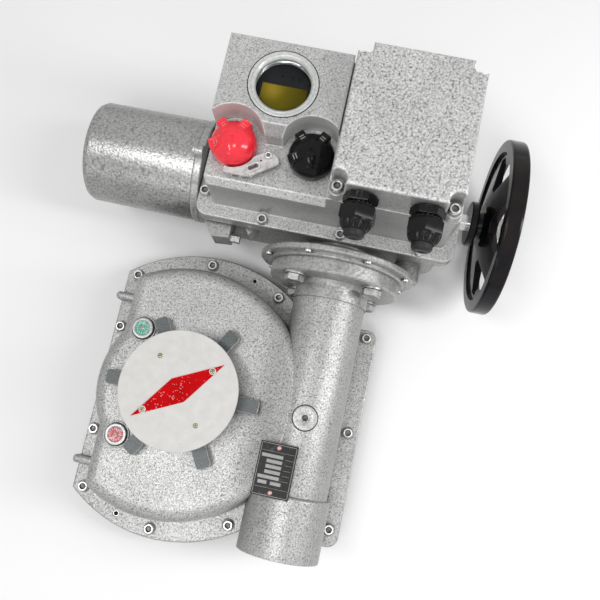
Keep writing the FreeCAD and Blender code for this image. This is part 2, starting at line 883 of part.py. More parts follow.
def drain_boss():
    """Cast boss on the front wall, sloped on its left side, and the small rib beside it."""
    wall = case_front_y + 2
    boss = prism([(-22, wall), (-20, drain_y + 5), (-11, drain_y - 6), (6, drain_y - 4.5), (6, wall)],
                 drain_z - 14, drain_z + 14)
    rib = prism([(17, wall), (24, drain_y + 1.5), (32, wall)], drain_z - 8, drain_z + 14)
    return boss.fuse(rib)


def head_side_lobe():
    """Round eye beside the cone, joined to the front wall."""
    x, z = head_lobe
    low = lip_front_y - head_lobe_radius
    eye = rod(head_lobe_radius, low, case_front_y + 2, Y, (x, z))
    return eye.makeChamfer(1.5, [e for e in eye.Edges if e.BoundBox.YMax < low + 0.1])


def gearcase():
    """Cast case of the head: deep tray with a lip, round flange, motor pad and shaft boss."""
    a = centre_distance
    body = rounded_block(case_left_x, case_right_x, case_front_y, case_back_y, case_floor_z, split_z,
                         case_corner)
    body = rounded(body, case_floor_round, level(case_floor_z))
    far = 3 * head_flange_radius + case_back_y
    above = block(-far, far, -far, far, split_z, split_z + far)
    motor_pad = rod(motor_ring_radius, case_left_x, case_left_x + 14, X, (drive_y, worm_z)).cut(above)
    shaft_boss = rod(bracket_radius, case_right_x - 10, case_right_x + 5, X, (drive_y, worm_z)).cut(above)
    lip = lip_plan(split_z - lip_thick, split_z)
    body = body.fuse([lip, head_nose(), motor_pad, shaft_boss, drain_boss(), head_side_lobe()])
    body = body.cut(head_room(case_floor_z + head_wall, split_z + 60))
    bracket = block(a - bracket_radius, a + bracket_radius, bracket_y, bracket_y + bracket_thick,
                    case_floor_z + 2, worm_z)
    bracket = bracket.fuse(rod(bracket_radius, bracket_y, bracket_y + bracket_thick, Y, (a, worm_z)))
    body = body.fuse(bracket).cut(gearcase_bores())
    depth = cover_screw_length - control_flange_thick + slip
    body = body.cut(screw_holes(control_screw_places(), split_z - depth, split_z, screw_radius))
    return body.removeSplitter()


def gearcase_bores():
    worm_line = (centre_distance, worm_z)
    drive_line = (drive_y, worm_z)
    bores = [rod(input_spigot_radius + slip, head_y, head_y + input_spigot + slip, Y, worm_line),
             rod(sleeve_radius + bush_wall, head_y, case_front_y + head_wall + 1, Y, worm_line),
             rod(rear_bush_radius, bracket_y, bracket_y + bracket_thick, Y, worm_line),
             rod(motor_bearing_radius - 1, case_left_x - 1, case_left_x + head_wall + 1, X, drive_line),
             rod(hand_shaft_radius + bush_wall, case_right_x - 12, case_right_x + 6, X, drive_line),
             rod(drain_thread, -6.0, 6.0, X, (drain_y, drain_z))]
    face = head_y + head_step
    bores += [rod(head_screw_thread, face, face + 5, Y, at) for at in head_screw_places()]
    return bores + [rod(input_bolt_radius, head_y, head_y + 24, Y, at)
                    for at in bolt_places(input_bolt_circle)]


def drain_plug():
    """Hexagon plug screwed into the side of the front boss."""
    plug = hexagon(drain_flat, 0, 9.0).fuse(Part.makeCylinder(drain_thread, 12, point(0, 0, -12)))
    plug.rotate(point(0, 0, 0), Y, 90)
    return moved(plug, 6.0, drain_y, drain_z)


def small_cap_screw():
    screw = Part.makeCylinder(head_screw_radius, 2.4)
    screw = screw.fuse(Part.makeCylinder(head_screw_thread, 5, point(0, 0, -5)))
    return screw.cut(hexagon(head_screw_radius, 0.8, 3.0))


def head_screws():
    """Small cap screws on the stepped face of the round flange, and one in the motor ring's ear."""
    screws = []
    for x, z in head_screw_places():
        screw = small_cap_screw()
        screw.rotate(point(0, 0, 0), X, 90)
        screws.append(moved(screw, x, head_y + head_step, z))
    ear = small_cap_screw()
    ear.rotate(point(0, 0, 0), Y, -90)
    screws.append(moved(ear, motor_root_x, drive_y, worm_z + motor_ear_reach))
    return group(screws)


def sleeve_start_y():
    return head_y + input_spigot + 1.0


def drive_sleeve():
    """Hollow sleeve that takes the key end of the worm shaft; carries the crown wheel."""
    y0 = sleeve_start_y()
    crown_back = drive_y - crown_module * (pinion_teeth / 2 + 1.25) - crown_thick
    mouth = shaft_tip_radius + slip
    room_end = shaft_end_y + 4
    stem = sleeve_radius - 6
    journal = rear_bush_radius - bush_wall
    profile = [(mouth, y0), (sleeve_radius, y0), (sleeve_radius, crown_back - press), (stem, crown_back),
               (stem, bracket_y - 1.5), (journal, bracket_y - 1.5), (journal, sleeve_end_y),
               (journal / 2, sleeve_end_y), (journal / 2, room_end), (mouth, room_end)]
    body = turned(profile, Y, (centre_distance, 0, worm_z))
    keyway = block(centre_distance - 2.5 - slip, centre_distance + 2.5 + slip, y0, room_end,
                   worm_z, worm_z + shaft_tip_radius + 2 + slip)
    return body.cut(keyway)


def crown_tooth(radius, root_y, pitch_y):
    """Cross-section of a face-gear tooth at one radius; it grows with the radius."""
    half = math.pi * crown_module / 4 * radius / crown_pitch_radius - crown_play
    root_half = half + 1.25 * crown_module * math.tan(pressure_angle)
    tip_half = half - crown_addendum * math.tan(tip_angle)
    tip_y = pitch_y + crown_addendum
    return Part.makePolygon([point(radius, root_y - 0.5, -root_half), point(radius, tip_y, -tip_half),
                             point(radius, tip_y, tip_half), point(radius, root_y - 0.5, root_half),
                             point(radius, root_y - 0.5, -root_half)])


def crown_wheel():
    """Face gear: radial teeth that taper towards the centre, facing the pinion shafts."""
    outer = crown_pitch_radius + crown_face / 2
    inner = crown_pitch_radius - crown_face / 2
    pitch_y = drive_y - crown_module * pinion_teeth / 2
    root_y = pitch_y - 1.25 * crown_module
    body = tube(outer, sleeve_radius - 6 + press, root_y - crown_thick, root_y, Y)
    teeth = []
    for i in range(crown_teeth):
        tooth = Part.makeLoft([crown_tooth(r, root_y, pitch_y) for r in (inner, outer)], True, True)
        teeth.append(spun(tooth, i * 360 / crown_teeth, Y))
    limit = rod(outer, root_y - crown_thick, drive_y, Y)
    return moved(body.fuse(teeth).common(limit).removeSplitter(), centre_distance, 0, worm_z)


def straight_pinion(bore, x0):
    """Small spur pinion on a shaft along X."""
    reach = crown_module * pinion_teeth / 2
    half = math.pi * crown_module / 4 - crown_play
    tip_half = half - crown_addendum * math.tan(tip_angle)
    outline = []
    for i in range(pinion_teeth):
        outline += tooth_outline(tip_half, half + 0.3 * crown_module, reach + crown_addendum,
                                 reach - 1.2 * crown_module, 2 * math.pi * i / pinion_teeth)
    gear = prism(outline, 0, crown_face).cut(Part.makeCylinder(bore, crown_face))
    gear.rotate(point(0, 0, 0), Y, 90)
    return moved(gear, x0, drive_y, worm_z)


def sleeve_bushes():
    at = (centre_distance, worm_z)
    front = tube(sleeve_radius + bush_wall - press, sleeve_radius + running, sleeve_start_y() + 2,
                 case_front_y + head_wall, Y, at)
    rear = tube(rear_bush_radius - press, rear_bush_radius - bush_wall + running, bracket_y,
                bracket_y + bracket_thick, Y, at)
    return group([front, rear])


# Motor

def motor_profile(inset, end_inset):
    root = motor_root_radius - inset
    end = motor_radius - inset
    length = motor_root_x - motor_end_x
    return [(0, 0), (root, 0), (end, -(length - 6 - end_inset)), (end - 2, -(length - 2 - end_inset)),
            (end - 6, -(length - end_inset)), (0, -(length - end_inset))]


def motor_housing():
    centre = (motor_root_x, drive_y, worm_z)
    can = turned(motor_profile(0, 0), X, centre)
    room = turned(motor_profile(motor_wall, motor_wall), X, centre)
    end = motor_end_x + motor_wall
    seat = tube(motor_bearing_radius + 7, motor_bearing_radius, end - 1, end + motor_bearing_width, X,
                (drive_y, worm_z))
    return can.cut(room).fuse(seat).removeSplitter()


def motor_ring():
    """Flange ring between the motor and the gearcase, with an ear on top and the bearing seat."""
    width = case_left_x - motor_root_x
    r = motor_ring_radius
    profile = [(motor_bearing_radius, 0), (r - 1, 0), (r, 1), (r, width - 1), (r - 1, width),
               (motor_bearing_radius, width)]
    ring = turned(profile, X, (motor_root_x, drive_y, worm_z))
    at = (drive_y, worm_z + motor_ear_reach)
    ear = rod(motor_ear_radius, motor_root_x, case_left_x, X, at)
    return ring.fuse(ear).cut(rod(head_screw_thread, motor_root_x, motor_root_x + 5, X, at)).removeSplitter()


def stator():
    """Laminated stack with its two winding heads."""
    middle = (motor_root_x + motor_end_x) / 2
    half = rotor_length / 2
    radius = motor_radius - motor_wall - 0.5
    at = (drive_y, worm_z)
    stack = tube(radius, stator_bore, middle - half, middle + half, X, at)
    heads = [tube(radius - 5, stator_bore + 3, s, s + 9, X, at) for s in (middle - half - 9, middle + half)]
    slots = []
    for i in range(stator_slots):
        slot = block(middle - half, middle + half, -2, 2, stator_bore - 1, stator_bore + 3)
        slots.append(moved(spun(slot, i * 360 / stator_slots, X), 0, drive_y, worm_z))
    return stack.cut(slots).fuse(heads).removeSplitter()


def rotor():
    middle = (motor_root_x + motor_end_x) / 2
    half = rotor_length / 2
    at = (drive_y, worm_z)
    shaft = rod(rotor_shaft_radius, motor_end_x + motor_wall + 1, motor_pinion_x + crown_face + 2, X, at)
    rings = rod(rotor_radius / 2, middle - half - 8, middle + half + 8, X, at)
    return rod(rotor_radius, middle - half, middle + half, X, at).fuse([shaft, rings]).removeSplitter()


def motor_bearings():
    end = motor_end_x + motor_wall
    spans = [(end, end + motor_bearing_width), (motor_root_x, case_left_x)]
    return group([tube(motor_bearing_radius - press, rotor_shaft_radius + running, a, b, X, (drive_y, worm_z))
                  for a, b in spans])


# Handwheel

def wheel_window(outer):
    """Cutter for one window of the web: a wedge whose wide end has a cusp in its middle."""
    half_in = math.radians(window_half_in)
    half_out = math.radians(window_half_out)
    steps = [(window_inner, -half_in), (outer - 2, -half_out), (outer, -half_out / 2),
             (outer - window_cusp, 0), (outer, half_out / 2), (outer - 2, half_out), (window_inner, half_in)]
    corners = [point(-30, r * math.sin(a), r * math.cos(a)) for r, a in steps]
    window = Part.Face(Part.makePolygon(corners + [corners[0]])).extrude(X * 60)
    return rounded(window, 1.5, lambda b: b.XLength > 50)


def handwheel():
    """Dished wheel: deep rim, thin web with five windows, hub with a flange."""
    centre = (wheel_plane_x, drive_y, worm_z)
    w = wheel_rim_width
    r = wheel_rim_radius
    inner = r - wheel_rim_depth
    rim = turned([(inner, 0), (r - 2, 0), (r - 0.6, 0.6), (r, 2.0), (r, w - 2.0), (r - 0.6, w - 0.6),
                  (r - 2, w), (inner + 4, w), (inner, w - 5)], X, centre)
    t = wheel_web_thick
    bore = hand_shaft_radius + slip
    neck = hand_neck_radius
    web = turned([(bore, -6), (neck + 8, -6), (inner - 6, 2), (inner + 2, 3), (inner + 2, 3 + t),
                  (inner - 6, 2 + t), (neck + 8, t - 2), (bore, t - 2)], X, centre)
    window = wheel_window(inner - window_outer_gap)
    windows = [moved(spun(window, i * 360 / window_count + 18, X), *centre) for i in range(window_count)]
    hub_d = hand_hub_x - wheel_plane_x
    flange = hub_d + hand_hub_flange
    hub = turned([(bore, hub_d), (hand_hub_radius - 1, hub_d), (hand_hub_radius, hub_d + 1),
                  (hand_hub_radius, flange - 1), (hand_hub_radius - 1, flange), (neck, flange + 2),
                  (neck + 2, -2), (neck, hand_nut), (bore, hand_nut)], X, centre)
    return web.cut(windows).fuse([rim, hub]).removeSplitter()


def hand_pinion_x():
    return centre_distance + crown_pitch_radius - crown_face / 2


def handwheel_shaft():
    at = (drive_y, worm_z)
    shaft = rod(hand_shaft_radius, case_right_x - 13, wheel_plane_x + 22, X, at)
    seat = rod(hand_shaft_radius - 1.5, hand_pinion_x(), case_right_x - 12, X, at)
    return shaft.fuse(seat).removeSplitter()


def hub_nut():
    nut = hexagon(hand_nut_flat, 0, hand_nut).cut(Part.makeCylinder(hand_shaft_radius + slip, hand_nut))
    nut = nut.fuse(tube(hand_neck_radius, hand_shaft_radius + slip, -2.0, 0, Z))
    nut.rotate(point(0, 0, 0), Y, 90)
    return moved(nut, wheel_plane_x + hand_nut + 2.0, drive_y, worm_z)


def handwheel_bush():
    return tube(hand_shaft_radius + bush_wall - press, hand_shaft_radius + running, case_right_x - 12,
                case_right_x + 6, X, (drive_y, worm_z))


# Control housing

def screws_by_the_wall():
    front = [(x, lip_front_y + lip_screw_inset) for x in lip_screw_xs]
    back = [(x, lip_back_y - lip_screw_inset) for x in lip_screw_xs]
    return front + back + [(lip_right_x - lip_screw_inset, drive_y + 21.0)]


def control_screw_places():
    left = [(lip_left_x + lip_screw_inset + 0.9, lip_front_y + d) for d in lip_screw_backs]
    return screws_by_the_wall() + left


def profile_along_x(x0, x1, corners):
    """Solid whose cross-section is given by its (y, z) corners."""
    face = Part.Face(Part.makePolygon([point(x0, y, z) for y, z in corners + [corners[0]]]))
    return face.extrude(X * (x1 - x0))


def sloped_body(x0, x1, y1, top, inset, low):
    """Box whose front wall leans back by the casting draft."""
    front = wall_foot_y + inset
    lean = wall_slope * (top - control_foot_z)
    drop = wall_slope * (control_foot_z - low)
    body = profile_along_x(x0, x1, [(front - drop, low), (front + lean, top), (y1, top), (y1, low)])
    if inset:
        return body
    return rounded(body, body_corner, lambda b: b.ZLength > 10 and b.XLength < 0.01 and b.YMax < y1 - 50)


def panel_step():
    """Cutter that lowers the front of the panel to the knob face, with the nose and the scallops."""
    over = window_face + 1
    front = lip_front_y - 15
    cutter = profile_along_x(body_left_x - 5, panel_right_x,
                             [(front, knob_face), (nose_y, knob_face), (nose_y + 0.5, knob_face + 16),
                              (nose_top_y, over), (front, over)])
    scallops = [Part.makeCylinder(scallop_radius, over - knob_face, point(x, y, knob_face))
                for x, y in knob_places]
    stop = block(panel_right_x, panel_right_x + scallop_radius, front, nose_top_y + scallop_radius,
                 knob_face, over)
    return cutter.fuse([scallops[0], scallops[1].cut(stop)])


def panel_wedge():
    """Cutter for the bevel along the front edge of the knob face."""
    y = wall_foot_y + wall_slope * (knob_face - control_foot_z)
    b = panel_bevel
    return profile_along_x(body_left_x - 5, panel_right_x,
                           [(y - 3, knob_face - b - 1.0), (y + b, knob_face + 1), (y - 3, knob_face + 1)])


def wall_dimples():
    """Shallow hollows in the foot of the walls, room for a key on the screws below."""
    r = wall_dimple_radius
    cuts = []
    for x, y in screws_by_the_wall():
        at = point(x, y, control_foot_z)
        cuts.append(Part.makeCylinder(r, wall_dimple, at))
        cuts.append(Part.makeCone(r, r - 3, 3, at + Z * wall_dimple))
    return cuts


def control_rooms(foot):
    """Hollows of the cover: one low room, higher under the window and under the terminal box."""
    w = cover_wall
    back = body_back_y - w
    low = sloped_body(body_left_x + w, body_right_x - w, back, knob_face - w, w, foot)
    panel = block(body_left_x + w, panel_right_x - w, knob_places[1][1] + scallop_radius + w, back,
                  foot, window_face - w)
    right = sloped_body(panel_right_x + w, body_right_x - w, back, box_seat - w, w, foot)
    return [low, panel, right]


def control_openings():
    """Window, its seat, the knob spindles and the way into the terminal box."""
    deep = window_depth + display_thick
    window = Part.makeCylinder(window_ring_radius - window_ledge, deep,
                               point(window_x, window_y, window_face - deep))
    recess = Part.makeCylinder(window_ring_radius + press, glass_drop,
                               point(window_x, window_y, window_face - glass_drop))
    way_in = rounded_block(box_left_x + 20, box_right_x - 20, box_front_y + 22, box_back_y - 22,
                           box_seat - cover_wall, box_seat, 6)
    spindles = [Part.makeCylinder(knob_spindle + running, 20, point(x, y, knob_face - 20))
                for x, y in knob_places]
    return [window, recess, way_in] + spindles


def control_housing():
    """Cast cover: flange, drafted walls, stepped panel on the left, seat for the box on the right."""
    foot = split_z + gasket_thick
    flange = rounded(lip_plan(foot, control_foot_z), lip_edge, level(control_foot_z))
    panel = sloped_body(body_left_x, panel_right_x + 1, body_back_y, window_face, 0, foot)
    right = sloped_body(body_left_x + 20, body_right_x, body_back_y, box_seat, 0, foot)
    panel = panel.cut(block(panel_right_x, panel_right_x + 2, lip_front_y, lip_back_y, box_seat, window_face))
    body = panel.fuse([right, flange]).removeSplitter()
    body = body.cut([panel_step(), panel_wedge()] + wall_dimples()).cut(control_rooms(foot))
    board = window_face - window_depth - display_thick + 1.0
    high = window_face - cover_wall + 1
    body = body.fuse([Part.makeCylinder(4.0, high - board, point(x, y, board)) for x, y in board_pillars()])
    lock_at = lock_places()[0]
    return body.cut(control_openings() + screw_holes(control_screw_places(), foot, control_foot_z, screw_hole)
                    + screw_holes(box_screw_places(), box_seat - 8, box_seat, screw_radius)
                    + screw_holes([lock_at], knob_face - 4, knob_face, 1.6)).removeSplitter()


def control_gasket():
    high = split_z + gasket_thick
    sheet = lip_plan(split_z, high).cut(head_room(split_z, high))
    return sheet.cut(screw_holes(control_screw_places(), split_z, high, screw_hole))


# Window and display

def window_ring():
    """Clamping ring with a bevelled bore."""
    clear = window_clear_radius
    r = window_ring_radius
    profile = [(clear, -glass_drop), (r, -glass_drop), (r, 0.0), (r - 1, 1.2), (clear + 3, 1.2), (clear, -1)]
    return turned(profile, Z, (window_x, window_y, window_face))


def window_glass():
    low = window_face - glass_drop - glass_thick
    radius = window_ring_radius - window_ledge - slip
    return Part.makeCylinder(radius, glass_thick, point(window_x, window_y, low))


def display_module():
    """Display in its dark bezel, set behind the glass."""
    top = window_face - window_depth + 1.0
    width, height, depth = display_well
    body = Part.makeCylinder(window_ring_radius - window_ledge - 0.4, display_thick,
                             point(window_x, window_y, top - display_thick))
    well = block(window_x - width / 2, window_x + width / 2, window_y + 5 - height, window_y + 5,
                 top - depth, top)
    return body.cut(well)


def board_pillars():
    return [(x, y) for x in (body_left_x + 15, panel_right_x - 15) for y in (window_y - 12, body_back_y - 14)]


def circuit_board():
    high = window_face - window_depth - display_thick + 1.0
    low = high - board_thick
    board = rounded_block(body_left_x + 10, panel_right_x - 10, window_y - 18, body_back_y - 9, low, high, 3)
    chips = [block(x, x + 12, window_y - 14, window_y - 4, low - 2.4, low) for x in (0, 20, 40, 60)]
    return board.fuse(chips)


# Selector knobs

def selector_knob(x, y):
    """Domed knob: skirt, three raised pads round the crown, on its own spindle."""
    z = knob_face + knob_gap
    r = knob_radius
    dome = knob_height - knob_skirt
    profile = [(0, 0), (r, 0), (r, knob_skirt)]
    for i in range(1, 7):
        a = math.radians(15 * i)
        profile.append((r * math.cos(a) if i < 6 else 0, knob_skirt + dome * math.sin(a)))
    knob = turned(profile, Z, (x, y, z))
    pads = []
    for turn in knob_pad_turns:
        pad = block(-knob_pad_width / 2, knob_pad_width / 2, r + 0.8 - knob_pad_length, r + 0.8,
                    2.0, knob_pad_top)
        pad = rounded(pad, 1.2, lambda b: b.ZMin > knob_skirt)
        pads.append(moved(spun(pad, turn), x, y, z))
    spindle = Part.makeCylinder(knob_spindle, 20, point(x, y, z - 20))
    return knob.fuse(pads + [spindle]).removeSplitter()


def lock_places():
    """Where the padlock plate's screw and its slot lie."""
    x, y = knob_places[0]
    return [(x + dx, y + dy) for dx, dy in (lock_screw_offset, lock_slot_offset)]


def lock_plate():
    """Padlock plate beside the red knob: a slotted bar with a wing, on short feet."""
    z = knob_face
    x, y = knob_places[0]
    screw_at, slot_at = lock_places()
    plate = prism([(x + dx, y + dy) for dx, dy in lock_outline], z + lock_high - lock_thick, z + lock_high)
    feet = [block(x + a, x + b, y + lock_foot_y[0], y + lock_foot_y[1], z, z + lock_high - 1)
            for a, b in lock_foot_xs]
    feet.append(Part.makeCylinder(4.5, lock_high - 1, point(*screw_at, z)))
    length, width = lock_slot_size
    slot = rounded_block(-length / 2, length / 2, -width / 2, width / 2, 0, 2 * lock_high, width * 0.45)
    slot = moved(spun(slot, lock_turn), slot_at[0], slot_at[1], z)
    knob_room = Part.makeCylinder(knob_radius + 1.8, 2 * lock_high, point(x, y, z - 1))
    hole = screw_holes([screw_at], z, z + lock_high, 1.6)
    return plate.fuse(feet).cut([slot, knob_room] + hole).removeSplitter()


# Terminal box

def box_screw_places():
    dx = box_screw_inset_x
    dy = box_screw_inset_y
    return [(x, y) for x in (box_left_x + dx, box_right_x - dx) for y in (box_front_y + dy, box_back_y - dy)]


def box_body(low):
    """Outside of the box, with casting draft on the three free sides."""
    left, right = box_left_x, box_right_x
    front, back = box_front_y, box_back_y
    wires = []
    for z, g in ((low, box_draft), (box_top, 0.0)):
        corners = [(left, front - g), (right + g, front - g), (right + g, back + g), (left, back + g)]
        wires.append(Part.makePolygon([point(x, y, z) for x, y in corners + [corners[0]]]))
    return Part.makeLoft(wires, True, True)


def terminal_box():
    """Deep cast cover with a deep screw pocket at each corner."""
    low = box_seat + box_gasket
    places = box_screw_places()
    w = box_wall
    body = box_body(low).cut(screw_holes(places, pocket_floor, box_top, pocket_radius))
    body = rounded(body, box_edge, level(box_top))
    room = rounded_block(box_left_x + w, box_right_x - w, box_front_y + w, box_back_y - w, low,
                         box_top - w, w)
    room = room.cut(screw_holes(places, low, box_top, pocket_radius + w))
    side = block(box_left_x - 2 * box_ear_radius, box_left_x, box_front_y - 50, box_back_y + 50, low, box_top)
    ears = [e.cut(side) for e in screw_holes(places, low, pocket_floor, box_ear_radius)]
    ports = [rod(gland_thread_radius + slip, box_front_y - 5, box_front_y + w + 1, Y, (x, gland_z))
             for x in gland_xs]
    body = body.cut(room).fuse(ears)
    return body.cut(ports + screw_holes(places, low, pocket_floor, screw_hole)).removeSplitter()


def terminal_gasket():
    low = box_seat
    high = low + box_gasket
    sheet = block(box_left_x + 1, box_right_x - 1, box_front_y + 1, box_back_y - 1, low, high)
    i = terminal_inset - 0.5
    inner = block(box_left_x + i, box_right_x - i, box_front_y + i + 2, box_back_y - i - 2, low, high)
    return sheet.cut([inner] + screw_holes(box_screw_places(), low, high, screw_hole))


def terminal_block():
    """Base plate over the opening with a row of clamps, each with a wire mouth and a screw well."""
    length = terminal_pitch * terminal_count
    x0 = (box_left_x + box_right_x - length) / 2
    y0 = (box_front_y + box_back_y - terminal_deep) / 2
    z0 = box_seat + terminal_plate
    z1 = z0 + terminal_high
    i = terminal_inset
    plate = rounded_block(box_left_x + i, box_right_x - i, box_front_y + i + 2, box_back_y - i - 2,
                          box_seat, z0, 3)
    cuts = []
    for n in range(terminal_count):
        x = x0 + (n + 0.5) * terminal_pitch
        cuts.append(Part.makeCylinder(2.6, 8, point(x, y0 + 8, z1 - 8)))
        cuts.append(block(x - 2.5, x + 2.5, y0, y0 + 5, z0 + 4, z0 + 10))
    return plate.fuse(block(x0, x0 + length, y0, y0 + terminal_deep, z0, z1)).cut(cuts).removeSplitter()


# Glands

def gland_axis(shape, x):
    """Turn a piece modelled along +Z so that it points out of the front wall."""
    copy = shape.copy()
    copy.rotate(point(0, 0, 0), X, 90)
    return moved(copy, x, gland_front(), gland_z)


def gland_front():
    """Where the drafted front wall of the box stands at the height of the glands."""
    low = box_seat + box_gasket
    return box_front_y - box_draft * (box_top - gland_z) / (box_top - low) - 0.9


def gland_bodies():
    core = gland_collar_flat / 2
    body = hexagon(gland_collar_flat, 0, gland_collar, 30).common(Part.makeCone(13, 17, gland_collar + 0.01))
    body = body.fuse([Part.makeCylinder(gland_thread_radius, gland_thread, point(0, 0, -gland_thread)),
                      Part.makeCylinder(core - 2.5, gland_nut - 4, point(0, 0, gland_collar))])
    body = body.cut(Part.makeCylinder(gland_plug_radius - 2, 60, point(0, 0, -20)))
    return group([gland_axis(body, x) for x in gland_xs])


def gland_nuts():
    """Domed hexagon nut with a chamfer at each end and a tapered mouth."""
    z0 = gland_collar + 0.3
    z1 = z0 + gland_nut
    z2 = z1 + gland_taper
    r = gland_nut_flat / 2
    flat = hexagon(gland_nut_flat, z0, z1, 30)
    dome = turned([(0, z0), (r * 1.1, z0), (r * 1.155, z0 + 1), (r * 1.155, z1 - 2), (r * 1.05, z1), (0, z1)],
                  Z, (0, 0, 0))
    taper = turned([(0, z1 - 1), (r * 0.98, z1 - 1), (r * 0.95, z1), (gland_plug_radius + 2.5, z2), (0, z2)],
                   Z, (0, 0, 0))
    hollow = Part.makeCylinder(gland_collar_flat / 2 - 2.4, gland_nut - 3.5, point(0, 0, z0))
    mouth = Part.makeCylinder(gland_plug_radius + slip, 60, point(0, 0, z0))
    nut = flat.common(dome).fuse(taper).cut([hollow, mouth]).removeSplitter()
    return group([gland_axis(nut, x) for x in gland_xs])


def gland_plugs():
    """Mushroom-headed blanking plug in each gland."""
    z1 = gland_collar + 0.3 + gland_nut + gland_taper
    z0 = z1 - gland_plug_depth
    r = gland_plug_radius
    plug = turned([(0, gland_collar - 2), (r - 2.1, gland_collar - 2), (r - 2.1, z0), (r, z0), (r, z1),
                   (r + 1.5, z1 + 0.1), (r + 1.5, z1 + gland_plug - 2.5), (r - 1, z1 + gland_plug),
                   (0, z1 + gland_plug)], Z, (0, 0, 0))
    return group([gland_axis(plug, x) for x in gland_xs])


# Nameplate

def nameplate():
    w, h = plate_size
    plate = rounded_block(0, w, -h, 0, 0, plate_thick, 1.0)
    plate = plate.cut(screw_holes(rivet_places(), 0, plate_thick, rivet_radius))
    return moved(plate, plate_corner[0], plate_corner[1], plate_z)


def rivet_places():
    w, h = plate_size
    return [(w / 2, -rivet_inset), (w / 2, rivet_inset - h)]


def nameplate_pad():
    """Cast pad that bridges the valley between the wheel case and the worm tube."""
    w, h = plate_size
    pad = block(1, w - 1, 1 - h, -1, worm_z, plate_z)
    pad = rounded(pad, 2.0, upright).cut(screw_holes(rivet_places(), plate_z - 4, plate_z, rivet_radius))
    return moved(pad, plate_corner[0], plate_corner[1], 0)


def nameplate_rivets():
    rivets = []
    for x, y in rivet_places():
        head = Part.makeCone(2.2, 1.2, 1.2, point(x, y, plate_thick))
        head = head.fuse(Part.makeCylinder(rivet_radius, 4, point(x, y, plate_thick - 4)))
        rivets.append(moved(head, plate_corner[0], plate_corner[1], plate_z))
    return group(rivets)


def main():
    os.makedirs("parts", exist_ok=True)
    save("base_plate", base_plate())
    save("base_gasket", base_gasket())
    save("gearbox_housing", gearbox_housing())
    save("rim_screws", group([cap_screw(x, y, rim_high, rim_screw_length) for x, y in rim_screw_places()]))
    save("dowel_pins", dowel_pins())
    save("worm_wheel", worm_wheel())
    save("stem_bush", stem_bush())
    save("wheel_bushes", group([wheel_bush(6.0, rim_low - gasket_thick),
                                wheel_bush(worm_z + wheel_width / 2 + 2, hub_top)]))
    save("worm", worm())
    save("worm_bearings", worm_bearings())
    save("tail_cap", tail_cap())
    save("grease_plug", grease_plug())
    save("position_cap", position_cap())
    save("position_disc", position_disc())
    save("pointer", pointer())
    disc_top = cap_high + disc_thick
    save("indicator_screws", group(
        [small_screw(x, y, disc_top, 2.6, 8) for x, y in ends_of_line(disc_screw_reach, pointer_angle + 90)]
        + [small_screw(x, y, disc_top + pointer_thick, 2.4, 8)
           for x, y in ends_of_line(pointer_screw_reach, pointer_angle)]))
    save("open_marker", end_marker(1))
    save("closed_marker", end_marker(-1))
    marker_top = dome_top + marker_boss_height + marker_thick
    save("marker_screws", group([small_screw(marker_x, side * marker_y, marker_top, 2.4, marker_thick)
                                 for side in (1, -1)]))
    save("nameplate", nameplate())
    save("nameplate_rivets", nameplate_rivets())
    save("input_flange", input_flange())
    save("flange_bolts", flange_bolts())
    save("flange_washers", flange_washers())
    save("input_seal", input_seal())
    save("gearcase", gearcase())
    save("drain_plug", drain_plug())
    save("head_screws", head_screws())
    save("drive_sleeve", drive_sleeve())
    save("crown_wheel", crown_wheel())
    save("sleeve_bushes", sleeve_bushes())
    save("motor_housing", motor_housing())
    save("motor_ring", motor_ring())
    save("stator", stator())
    save("rotor", rotor())
    save("motor_pinion", straight_pinion(rotor_shaft_radius + press, motor_pinion_x))
    save("motor_bearings", motor_bearings())
    save("handwheel", handwheel())
    save("handwheel_shaft", handwheel_shaft())
    save("hand_pinion", straight_pinion(hand_shaft_radius - 1.5 + press, hand_pinion_x()))
    save("hub_nut", hub_nut())
    save("handwheel_bush", handwheel_bush())
    save("control_housing", control_housing())
    save("control_gasket", control_gasket())
    save("control_screws", group([cap_screw(x, y, control_foot_z, cover_screw_length)
                                  for x, y in control_screw_places()]))
    save("window_ring", window_ring())
    save("window_glass", window_glass())
    save("display_module", display_module())
    save("circuit_board", circuit_board())
    save("red_knob", selector_knob(*knob_places[0]))
    save("black_knob", selector_knob(*knob_places[1]))
    save("lock_plate", lock_plate())
    save("lock_screw", small_screw(*lock_places()[0], knob_face + lock_high, 3.4, lock_screw_length))
    save("terminal_box", terminal_box())
    save("terminal_gasket", terminal_gasket())
    save("terminal_screws", group([cap_screw(x, y, pocket_floor, box_screw_length)
                                   for x, y in box_screw_places()]))
    save("terminal_block", terminal_block())
    save("gland_bodies", gland_bodies())
    save("gland_nuts", gland_nuts())
    save("gland_plugs", gland_plugs())


main()
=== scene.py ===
import bpy
import bmesh
import math
from mathutils import Euler, Matrix, Vector


